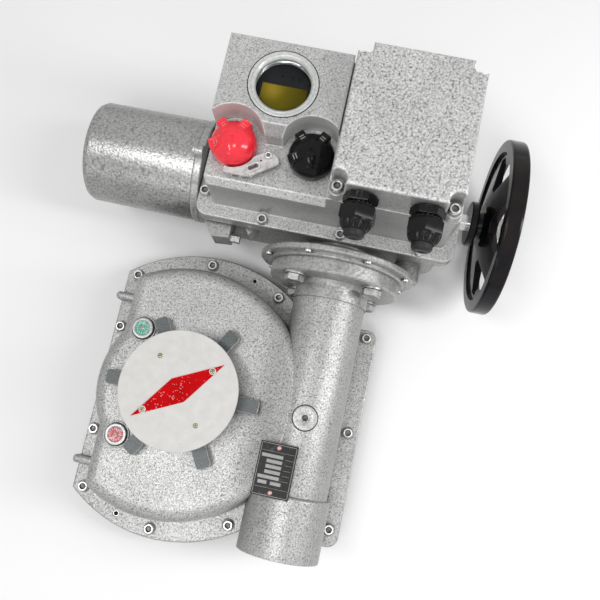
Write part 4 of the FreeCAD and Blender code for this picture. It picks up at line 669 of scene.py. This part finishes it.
# Bolts between the input flange and the head.
# Four M10 hexagon bolts with a washer face, their heads chamfered to a circle, on plain washers.
def hex_bolt(flat, height, shank, length):
    bench = bmesh.new()
    stack_rings(bench, 72, [
        (shank * 0.8, -length), (shank, 1.0 - length), (shank, 0.0), (flat * 0.47, 0.0), (flat * 0.47, 0.35),
        (hex_ring(flat), 0.45), (hex_ring(flat), height * 0.8), (flat * 0.475, height), (flat * 0.36, height),
        (flat * 0.34, height - 0.3), (flat * 0.05, height - 0.3)])
    corner = hex_ring(flat)
    for vert in bench.verts:
        if abs(vert.co.z - height * 0.8 * mm) < 0.01 * mm:
            drop = 0.25 + 0.75 * (corner(math.atan2(vert.co.y, vert.co.x)) - flat / 2)
            vert.co.z = (height - drop) * mm
    return keep_mesh("pattern", bench, 24.0)


to_front = Matrix.Rotation(math.radians(90.0), 4, "X")
bolt_places = [(150.56, 116.06, 0.35), (150.56, 43.94, 1.1), (78.44, 116.06, 0.1), (78.44, 43.94, 0.7)]
bolt_zinc = bright_zinc("bolt_zinc", (0.46, 0.46, 0.45), 0.6)
stand_copies("flange_hex_bolts", hex_bolt(16.0, 6.6, 5.0, 30.0),
             [at(x, 125.8, z, to_front @ turn_z(turn)) for x, z, turn in bolt_places], bolt_zinc,
             "zinc_steel", "flange_bolts", sharp=24.0)
finish_nodes(bolt_zinc, "flange_washers")


# Gearcase of the head with its round flange, and the input flange of the gearbox.
# Aluminium castings in the same enamel, here smoother and painted darker as shade for the underside of the
# head, with eight small cap screws round the flange and one on the left.
def smooth_enamel(name, ground, metal, coarse=0.35):
    material, tree, shader, place = start_material(name)
    rounded, edge = soft_corners(tree, 1.3)
    peel = noise(tree, place, 640.0, 2.0, 0.55, 0.3)
    islets = cells(tree, place, 430.0, "SMOOTH_F1")
    base = ramp(tree, count(tree, "ADD", times(tree, peel, 0.6), times(tree, islets, 0.5)),
                [(0.38, shade(ground, 1.0 + 0.7 * coarse)), (0.55, ground),
                 (0.75, shade(ground, 1.0 - coarse))])
    base = darkened(tree, base, ramp(tree, noise(tree, place, 16.0, 3.0), [(0.3, 0.88), (0.7, 1.05)]))
    # Painted highlight on the rounded edges.
    base = mixed(tree, times(tree, edge, 0.45), base, shade(ground, 1.6))
    # Painted shade in the corners.
    base = darkened(tree, base, painted_corner_shade(tree, 10.0, 0.3))
    dress(tree, shader, base, spread(tree, peel, 0.27, 0.38, 0.3, 0.7), metal, 0.35)
    bumped(tree, shader, count(tree, "ADD", peel, islets), coarse, -0.35, rounded)
    return material


# The darker ground is painted shade: the gearbox enamel, darkened for the shaded underside of the head.
finish_nodes(smooth_enamel("gearcase_enamel", (0.335, 0.335, 0.33), 0.4, 0.4), "gearcase", "input_flange")
head_places = [(179.63, 106.98), (141.48, 145.13), (87.52, 145.13), (49.37, 106.98), (49.37, 53.02),
               (87.52, 14.87), (141.48, 14.87), (179.63, 53.02)]
to_left = Matrix.Rotation(math.radians(-90.0), 4, "Y")
stand_screws("head_small_screws", cap_screw(3.2, 2.4, 3.2, 5.0, 2.5),
             [at(x, 144.3, z, to_front) for x, z in head_places] + [at(-36.0, 219.0, 134.5, to_left)],
             "head_screws")
finish_nodes(bolt_zinc, "drain_plug")


# Motor can and its flange ring.
# Extruded and capped aluminium can in a darker metallic enamel with a satin gloss.
finish_nodes(smooth_enamel("motor_metallic_enamel", (0.30, 0.30, 0.295), 0.9, 0.45), "motor_housing")
finish_nodes(smooth_enamel("motor_ring_enamel", (0.38, 0.38, 0.375), 0.4), "motor_ring")


# Stator, rotor and their windings, inside the motor.
# Stacked electrical sheet seen as fine rings, with varnished copper at the ends.
def laminations(name, stack_half=None):
    """Ringed sheets; where the stack's half length is given, varnished copper beyond it."""
    material, tree, shader, place = start_material(name)
    sheets = add_node(tree, "TexWave", {"wave_type": "BANDS", "bands_direction": "X"},
                      {"Vector": place, "Scale": 320.0, "Distortion": 0.4, "Detail": 1.0}).outputs["Fac"]
    base = ramp(tree, sheets, [(0.2, 0.10), (0.8, 0.30)])
    if stack_half is not None:
        off = count(tree, "ABSOLUTE", count(tree, "SUBTRACT", split_place(tree, place)["X"], stator_x * mm))
        strands = noise(tree, place, 1300.0, 3.0, 0.6, 2.0)
        copper = ramp(tree, strands, [(0.3, (0.22, 0.07, 0.025)), (0.7, (0.62, 0.26, 0.10))])
        base = mixed(tree, above(tree, off, stack_half), base, copper)
    dress(tree, shader, base, spread(tree, sheets, 0.3, 0.5), 0.85)
    bumped(tree, shader, sheets, 0.3, 0.1)
    return material


stator_x = -90.65
finish_nodes(laminations("stator_stack", 32.0), "stator")
finish_nodes(laminations("rotor_stack"), "rotor")


# Handwheel on its shaft.
# Cast wheel in thick black gloss enamel, with a bright shaft and a zinc nut at the hub.
def black_gloss():
    material, tree, shader, place = start_material("handwheel_black_gloss")
    rounded, edge = soft_corners(tree, 1.0)
    flow_and_sheen = noise(tree, place, 60.0, 3.0)
    dust = ramp(tree, cells(tree, place, 380.0), [(0.04, 0.5), (0.09, 0.0)])
    # Brownish and bluish tints: partly random tone of the enamel, partly a painted reflection of the room in
    # the gloss.
    base = ramp(tree, flow_and_sheen, [(0.3, (0.003, 0.004, 0.007)), (0.7, (0.012, 0.008, 0.006))])
    # Painted highlight on the rounded edges.
    base = mixed(tree, times(tree, edge, 0.2), base, grey(0.05))
    dress(tree, shader, mixed(tree, dust, base, grey(0.12)), spread(tree, flow_and_sheen, 0.10, 0.22), gloss=0.16)
    bumped(tree, shader, flow_and_sheen, 0.35, 0.5, rounded)
    return material


finish_nodes(black_gloss(), "handwheel")
finish_nodes(bolt_zinc, "hub_nut")


# Control housing.
# Cast cover in the light hammer enamel, painted brighter on the scalloped walls round both knobs as a painted
# highlight for the light they catch, held by ten cap screws.
cover_enamel = hammer_enamel("cover_hammer_enamel", (0.46, 0.46, 0.455), 900.0, 0.55, -0.3, 0.8, 2.0)
red_knob_place, black_knob_place = (6.7, 215.2), (75.0, 217.1)
tree = cover_enamel.node_tree
shader = tree.nodes["Principled BSDF"]
x, y, z = split_place(tree, object_place(tree))
# A brighter colour painted on the scalloped walls round each knob: a painted highlight for the light those
# walls catch.
for middle in (red_knob_place, black_knob_place):
    bare = times(tree, inside(tree, plan_distance(tree, x, y, middle), 26.5, 28.4),
                 inside(tree, z, 171.0, 197.6))
    base = shader.inputs["Base Color"].links[0].from_socket
    tree.links.new(mixed(tree, bare, base, (0.70, 0.70, 0.69)), shader.inputs["Base Color"])
finish_nodes(cover_enamel, "control_housing")
cover_z = 116.0
cover_places = [(37.3, 170.7), (111.5, 170.7), (185.7, 170.7), (37.3, 311.6), (111.5, 311.6), (185.7, 311.6),
                (213.6, 240.0), (-21.4, 187.5), (-21.4, 250.0), (-21.4, 300.0)]
stand_screws("cover_cap_screws", cap_screw(5.0, 6.0, 5.0, 10.0, 3.0),
             [at(x, y, cover_z, turn_z(0.5 * n)) for n, (x, y) in enumerate(cover_places)], "control_screws")
small_mark = turned(40, [(5.35, 0.0), (5.2, 0.15), (5.0, 0.18), (3.1, 0.18)], 20.0, "top")
stand_copies("cover_press_marks", small_mark, [at(x, y, cover_z) for x, y in cover_places], worn_paint,
             "cast_paint")


# Window ring, its seal and the glass.
# A pale enamelled ring with a wide bevelled bore clamps thick toughened glass on a low raised land; a thin
# dark seal shows outside it.
window_x, window_y, panel_z = 40.1, 267.8, 198.0
ring_enamel = smooth_enamel("window_ring_enamel", (0.54, 0.55, 0.54), 0.2, 0.2)
clamp_ring = turned(120, [(27.5, -4.0), (27.5, 0.7), (27.1, 1.15), (26.3, 1.2), (25.6, 0.9), (24.1, -0.9),
                          (23.8, -1.4), (23.8, -4.0), (27.5, -4.0)], 32.0, "open")
stand_copies("window_clamp_ring", clamp_ring, [at(window_x, window_y, panel_z)], ring_enamel, "cast_paint",
             "window_ring")
land = turned(120, [(27.3, 0.0), (27.3, 0.55), (27.8, 0.7), (29.4, 0.62), (30.0, 0.35),
                    (30.1, 0.0)], 32.0, "open")
stand_copies("window_ring_land", land, [at(window_x, window_y, panel_z - 0.02)], ring_enamel, "cast_paint")
bead = turned(120, [(30.0, 0.0), (30.1, 0.22), (30.5, 0.3), (30.8, 0.2), (30.9, 0.0)], 80.0, "open")
rubber_dark = moulded("seal_rubber", (0.02, 0.02, 0.021), 0.6, 0.3, 0.1)
stand_copies("window_seal_bead", bead, [at(window_x, window_y, panel_z - 0.03)], rubber_dark, "black_rubber")
finish_nodes(moulded("shaft_seal_rubber", (0.035, 0.033, 0.032), 0.5, 0.3), "input_seal")


def clear_glass():
    material, tree, shader, place = start_material("window_clear_glass")
    smear = noise(tree, place, 45.0, 4.0, 0.6, 0.5)
    tree.links.new(spread(tree, smear, 0.0, 0.05, 0.5, 0.8), shader.inputs["Roughness"])
    tree.links.new(ramp(tree, smear, [(0.3, (0.90, 0.94, 0.93)), (0.7, (0.98, 1.0, 0.99))]),
                   shader.inputs["Base Color"])
    shader.inputs["Transmission Weight"].default_value = 1.0
    shader.inputs["IOR"].default_value = 1.12
    return material


finish_nodes(clear_glass(), "window_glass")


# Spring rings under the glass.
# Two thin bright wire rings in the bore that press the glass up against its seal.
spring_ring = turned(120, [(24.7, 0.0), (24.55, 0.25), (24.7, 0.5), (25.1, 0.6), (25.4, 0.5), (25.4, 0.0),
                           (24.7, 0.0)], 60.0, "open")
stand_copies("glass_spring_rings", spring_ring, [at(window_x, window_y, z) for z in (188.2, 186.2)],
             turned_steel("spring_ring_steel", (0.92, 0.92, 0.93), "Z", 0.16), "zinc_steel")


# Display behind the glass.
# Black bezel with an olive-yellow screen in its well and three small lamps over it.
def soften(bench, edges, width):
    return bmesh.ops.bevel(bench, geom=edges, offset=width * mm, segments=2, affect="EDGES", profile=0.5,
                           material=-1, clamp_overlap=True)["verts"]


def screen_film():
    material, tree, shader, place = start_material("display_olive_film")
    centred = stretched(tree, place, grey(1.0), (-0.030, -0.268, -0.185))
    glow = add_node(tree, "TexGradient", {"gradient_type": "SPHERICAL"},
                    {"Vector": stretched(tree, centred, grey(38.0))}).outputs["Fac"]
    dots = cells(tree, place, 2200.0)
    base = ramp(tree, glow,
                [(0.0, (0.085, 0.062, 0.0)), (0.5, (0.12, 0.088, 0.0)), (1.0, (0.34, 0.22, 0.02))])
    dress(tree, shader, mixed(tree, 0.12, base, ramp(tree, dots, [(0.2, 0.0), (0.6, 0.3)]), "MULTIPLY"),
          spread(tree, dots, 0.3, 0.4), gloss=0.03)
    return material


finish_nodes(moulded("display_bezel_black", (0.010, 0.010, 0.012), 0.4, 0.05, 0.08), "display_module")
bench = bmesh.new()
block(bench, (39.6, 26.6, 0.7), at(window_x, 259.3, 184.4))
soften(bench, bench.edges[:], 0.25)
stand(keep_mesh("display_screen", bench), screen_film(), "display_plastic")
lamp_lens = turned(24, [(1.3, -0.4), (1.3, 0.15), (0.9, 0.6), (0.2, 0.75)], 60.0)
stand_copies("status_lamps", lamp_lens, [at(x, 281.0, 185.05) for x in (36.1, 45.1, 51.1)],
             moulded("status_lamp_lens", (0.001, 0.001, 0.001), 0.3, 0.02, 0.02), "black_plastic")


# Circuit board and terminal block, under the covers.
# Green laminate with a copper pattern under the lacquer; pale thermoset clamps.
def laminate():
    material, tree, shader, place = start_material("board_laminate_green")
    tracks = add_node(tree, "TexBrick",
                      inputs={"Vector": place, "Scale": 180.0, "Mortar Size": 0.06,
                              "Color1": (0.01, 0.12, 0.05, 1.0), "Color2": (0.012, 0.15, 0.06, 1.0),
                              "Mortar": (0.04, 0.26, 0.10, 1.0)}).outputs["Color"]
    weave = noise(tree, place, 1600.0, 2.0)
    dress(tree, shader, mixed(tree, 0.3, tracks, ramp(tree, weave, [(0.3, 0.6), (0.7, 1.0)]), "MULTIPLY"),
          spread(tree, weave, 0.3, 0.45))
    bumped(tree, shader, weave, 0.15, 0.05)
    return material


finish_nodes(laminate(), "circuit_board")
finish_nodes(moulded("terminal_thermoset", (0.42, 0.40, 0.34), 0.5, 0.2), "terminal_block")


# Selector knobs, red and black.
# Glossy moulded domes with three raised pads round the crown, a broad grip bar and a small centre pit.
def dome_height(reach):
    """Height of the knob's crown over its foot at a distance from its axis, in mm."""
    return 7.2 + 14.8 * math.sqrt(max(0.0, 1.0 - (reach / 20.05) ** 2.35))


def linked_verts(start):
    found = [start]
    for vert in found:
        found += [other for other in (e.other_vert(vert) for e in vert.link_edges) if other not in found]
    return found


def crown_pad(bench, turn):
    """Raised pad on the crown, sloped down to its outer side, with a sunk field and soft edges."""
    pad = block(bench, (8.8, 11.2, 14.2), at(0.0, pad_y, 13.8))
    for vert in pad:
        if vert.co.z > 15.0 * mm:
            vert.co.z -= 2.1 * mm if vert.co.y > 16.0 * mm else -0.3 * mm
            vert.co.x *= 0.94
    for face in [face for face in unique(f for v in pad for f in v.link_faces) if face.normal.z > 0.8]:
        bmesh.ops.inset_region(bench, faces=[face], thickness=1.0 * mm, depth=0.0)
        bmesh.ops.inset_region(bench, faces=[face], thickness=0.2 * mm, depth=-0.5 * mm)
    edges = [e for e in unique(e for v in linked_verts(pad[0]) for e in v.link_edges)
             if len(e.link_faces) == 2 and e.calc_face_angle(0.0) > 0.9]
    whole = linked_verts(soften(bench, edges, 0.4)[0])
    bmesh.ops.rotate(bench, matrix=Matrix.Rotation(turn, 3, "Z"), verts=whole)


def stand_knob(colour, middle, pad_turns, material, bar_film, body):
    """A knob with its pads and grip, and two short plain bars on each of the pads."""
    bench = bmesh.new()
    outline = [(5.0, -18.0), (5.0, 0.3), (18.8, 0.3), (19.9, 1.0), (20.0, 4.0), (20.0, 7.0)]
    outline += [(r, dome_height(r)) for r in (19.8, 19.3, 18.4, 17.0, 15.0, 12.6, 10.0, 7.2, 4.6, 2.6, 1.7)]
    outline += [(1.4, 21.5), (1.1, 21.0), (0.2, 20.9)]
    stack_rings(bench, 96, outline)
    bars = bmesh.new()
    lean = Matrix.Rotation(math.radians(-12.1), 4, "X")
    for degrees in pad_turns:
        crown_pad(bench, math.radians(degrees))
        for offset in (-1.5, 0.9):
            block(bars, (4.4, 0.9, 0.5), turn_z(math.radians(degrees))
                  @ at(0.0, pad_y + offset, 19.62 - 0.214 * offset, lean))
    grip = bmesh.ops.create_grid(bench, x_segments=24, y_segments=32, size=0.5)["verts"]
    for vert in grip:
        across, along = vert.co.x * 2.0, vert.co.y * 2.0
        px, py = across * 6.2, along * 7.2 - 9.8
        swell = math.cos(0.5 * math.pi * across) ** 1.5 * math.cos(0.5 * math.pi * along ** 3)
        vert.co = Vector((px, py, dome_height(math.hypot(px, py)) + 1.5 * swell - 0.15)) * mm
    knob = keep_mesh("pattern", bench, 50.0, recalculate=False)
    place, slot = [at(*middle, knob_z)], colour + "_plastic"
    stand_copies(colour + "_selector_knob", knob, place, material, slot, colour + "_knob", body=body,
                 sharp=50.0)
    stand_copies(colour + "_knob_bars", keep_mesh("pattern", bars), place, bar_film, slot, body=body)


knob_z, pad_y = 170.3, 14.9
stand_knob("red", red_knob_place, (-29.0, 43.0, 115.0),
           moulded("knob_red_gloss", (0.86, 0.022, 0.042), 0.16, 0.05, 0.5),
           moulded("red_bar_film", (0.86, 0.16, 0.19), 0.3), "selector")
stand_knob("black", black_knob_place, (-30.0, 43.0, 122.0),
           moulded("knob_black_gloss", (0.004, 0.004, 0.0045), 0.12, 0.05, 0.16, 0.15),
           moulded("black_bar_film", (0.30, 0.30, 0.29), 0.4), "switch")


# Padlock plate beside the red knob.
# A pressed aluminium plate on pointed feet: a raised collar round the shackle slot, a folded edge and one
# screw.
def stadium_ring(half_length, half_width):
    """Slot outline: straight sides along X, round ends."""
    def reach(angle):
        c, s = abs(math.cos(angle)), abs(math.sin(angle))
        straight = half_length - half_width
        if s > 1e-6 and half_width * c / s <= straight:
            return half_width / s
        return straight * c + math.sqrt(half_width ** 2 - (straight * s) ** 2)
    return reach


plate_metal = bright_zinc("padlock_plate_aluminium", (0.60, 0.58, 0.58), 0.9, 0.5)
finish_nodes(plate_metal, "lock_plate")
collar = turned(64, [(stadium_ring(length, width), z) for length, width, z in (
    (5.0, 2.1, 0.0), (5.0, 2.1, 0.75), (5.3, 2.4, 0.95), (6.6, 3.3, 0.95), (7.0, 3.7, 0.6), (7.1, 3.8, 0.0))],
    40.0, "open")
stand_copies("padlock_slot_collar", collar, [at(28.0, 197.8, 177.9, turn_z(math.radians(34.0)))], plate_metal,
             "machined_aluminium")
bench = bmesh.new()
corners = [(48.6, 204.8), (25.9, 189.0), (4.2, 188.9)]
for (x0, y0), (x1, y1) in zip(corners, corners[1:]):
    block(bench, (math.hypot(x1 - x0, y1 - y0) - 0.6, 1.1, 3.4),
          at((x0 + x1) / 2, (y0 + y1) / 2, 176.9, turn_z(math.atan2(y1 - y0, x1 - x0))))
soften(bench, bench.edges[:], 0.3)
stand(keep_mesh("padlock_folded_edge", bench), plate_metal, "machined_aluminium")
bench = bmesh.new()
for x, y, width in ((10.5, 189.6, 5.0), (18.5, 189.6, 5.0), (27.5, 191.3, 6.0)):
    bmesh.ops.create_cone(bench, segments=4, radius1=width / 2 * mm, radius2=0.3 * mm, depth=6.0 * mm,
                          cap_ends=True, matrix=at(x, y, 173.1, Matrix.Rotation(math.pi, 4, "X")))
stand(keep_mesh("padlock_plate_feet", bench), plate_metal, "machined_aluminium")
pin_end = turned(24, [(0.9, 0.0), (0.9, 0.05), (0.2, 0.06)])
stand_copies("padlock_pin_end", pin_end, [at(33.4, 204.6, 177.98)], rubber_dark, "black_rubber")
stand_screws("padlock_plate_screw", cap_screw(3.4, 1.8, 3.0, 8.0, 1.5), [at(38.7, 210.4, 178.0)],
             "lock_screw")


# Terminal box.
# A deep cast lid with the coarsest hammer finish of all, bright on its rim, and four sunk screws.
box_enamel = hammer_enamel("terminal_box_hammer_enamel", (0.50, 0.50, 0.495), 620.0, 0.66, -0.45, 0.65, 3.0)
finish_nodes(box_enamel, "terminal_box")
box_z = 200.0
box_places = [(103.0, 185.8), (103.0, 302.6), (199.8, 185.8), (199.8, 302.6)]
stand_screws("terminal_cap_screws", cap_screw(5.0, 6.0, 5.0, 22.0, 3.0),
             [at(x, y, box_z, turn_z(0.4 * n)) for n, (x, y) in enumerate(box_places)], "terminal_screws")
stand_copies("terminal_press_marks", press_mark, [at(x, y, box_z) for x, y in box_places], worn_paint,
             "cast_paint")


# Cable glands, both blanked off.
# Black nylon: a hexagon collar against the wall, a clamping nut with claws at both ends and a rubber plug.
gland_nylon = moulded("gland_nylon", (0.007, 0.007, 0.0075), 0.22, 0.15, 0.16)
gland_rubber = moulded("gland_plug_rubber", (0.022, 0.022, 0.022), 0.5, 0.3, 0.2)
gland_places = [at(x, 180.64, 205.0, to_front @ turn_z(turn)) for x, turn in ((124.0, 0.14), (179.0, 0.10))]
collar = turned(96, [
    (8.1, -10.0), (8.1, 0.0), (13.2, 0.0), (hex_ring(25.5), 0.5), (hex_ring(25.5), 5.6),
    (hex_ring(24.8), 6.6), (11.6, 7.0), (wavy_ring(11.6, 1.3, 18), 7.4), (wavy_ring(11.6, 1.3, 18), 8.6),
    (10.2, 8.7), (10.2, 19.0), (7.5, 19.0)], 30.0)
stand_copies("gland_collars", collar, gland_places, gland_nylon, "black_plastic", "gland_bodies", sharp=30.0)
nut = turned(144, [
    (10.4, 12.0), (10.4, 8.9), (12.9, 8.4), (wavy_ring(13.7, 1.0, 24), 8.9), (wavy_ring(13.9, 1.0, 24), 9.9),
    (hex_ring(27.6), 11.0), (hex_ring(28.0), 11.6), (hex_ring(28.0), 20.6), (hex_ring(27.4), 21.4),
    (13.6, 22.4), (13.4, 23.0), (wavy_ring(13.3, 0.7, 18), 23.2), (wavy_ring(12.9, 1.0, 18), 25.2),
    (wavy_ring(11.7, 1.0, 18), 27.4), (10.4, 29.0), (9.6, 29.6), (9.0, 29.3), (9.0, 24.0)], 28.0, "top")
stand_copies("gland_clamp_nuts", nut, [place @ turn_z(math.radians(30.0)) for place in gland_places],
             gland_nylon, "black_plastic", "gland_nuts", sharp=28.0)
plug = turned(64, [
    (7.4, 6.0), (7.4, 20.0), (8.7, 20.1), (8.7, 32.2), (8.4, 33.6), (7.4, 34.9), (5.8, 35.5), (3.2, 35.6),
    (2.7, 35.2), (0.4, 35.1)], 45.0)
stand_copies("gland_rubber_plugs", plug, gland_places, gland_rubber, "black_rubber", "gland_plugs",
             sharp=45.0)


# Floor, light and camera.
# A pale matt studio table under three soft strip lamps, one over it, one on the right and a weak low one
# in front. Mirror-like faces see a white room, and everything else is lit by a greyer one.
lowest = cad_box[0].z
bench = bmesh.new()
bmesh.ops.create_grid(bench, x_segments=2, y_segments=2, size=3.0,
                      matrix=Matrix.Translation((0.05, 0.1, lowest - 0.5 * mm)))
floor_mesh = keep_mesh("studio_floor", bench, recalculate=False)
floor = put(floor_mesh, "studio_floor")
floor_paint, tree, shader, place = start_material("studio_floor")
tree.links.new(ramp(tree, noise(tree, place, 3.0), [(0.3, 0.93), (0.7, 0.95)]), shader.inputs["Base Color"])
shader.inputs["Roughness"].default_value = 0.8
floor_mesh.materials.append(floor_paint)


def soft_lamp(name, place, target, length, width, power):
    data = bpy.data.lights.new(name, "AREA")
    data.shape = "RECTANGLE"
    data.size, data.size_y = length, width
    data.energy = power
    lamp = put(data, name)
    lamp.location = place
    lamp.rotation_euler = (Vector(target) - Vector(place)).to_track_quat("-Z", "Y").to_euler()


soft_lamp("main_lamp", (-0.18, -0.26, 1.55), (0.05, 0.1, 0.05), 1.1, 0.26, 9.8)
soft_lamp("right_strip_lamp", (1.05, 0.15, 0.92), (0.11, 0.08, 0.08), 0.2, 1.0, 8.0)
soft_lamp("low_strip_lamp", (-0.2, -1.15, 0.85), (0.0, 0.15, 0.1), 0.9, 0.05, 1.5)

world = bpy.data.worlds.new("studio")
bpy.context.scene.world = world
world.use_nodes = True
tree = world.node_tree
soft_sky = tree.nodes["Background"]
soft_sky.inputs["Color"].default_value = (1, 1, 1, 1)
soft_sky.inputs["Strength"].default_value = 0.43
white_out = add_node(tree, "Background", inputs={"Color": (1, 1, 1, 1), "Strength": 1.0})
rays = add_node(tree, "LightPath")
direct = count(tree, "MAXIMUM", rays.outputs["Is Camera Ray"],
               count(tree, "MAXIMUM", rays.outputs["Is Glossy Ray"], rays.outputs["Is Transmission Ray"]))
pick = add_node(tree, "MixShader", inputs={0: direct, 1: soft_sky.outputs[0], 2: white_out.outputs[0]})
tree.links.new(pick.outputs[0], tree.nodes["World Output"].inputs["Surface"])

bpy.context.scene.view_settings.view_transform = "Standard"

camera_data = bpy.data.cameras.new("camera")
camera_data.lens = 41.7056
camera_data.sensor_width = 36.0
camera_data.clip_start = 0.01
camera = put(camera_data, "camera")
camera.location = (0.1256791, -0.0103895, 0.7417965)
camera.rotation_euler = Euler([math.radians(a) for a in (10.778542, 1.198942, 12.063481)], "XYZ")
bpy.context.scene.camera = camera
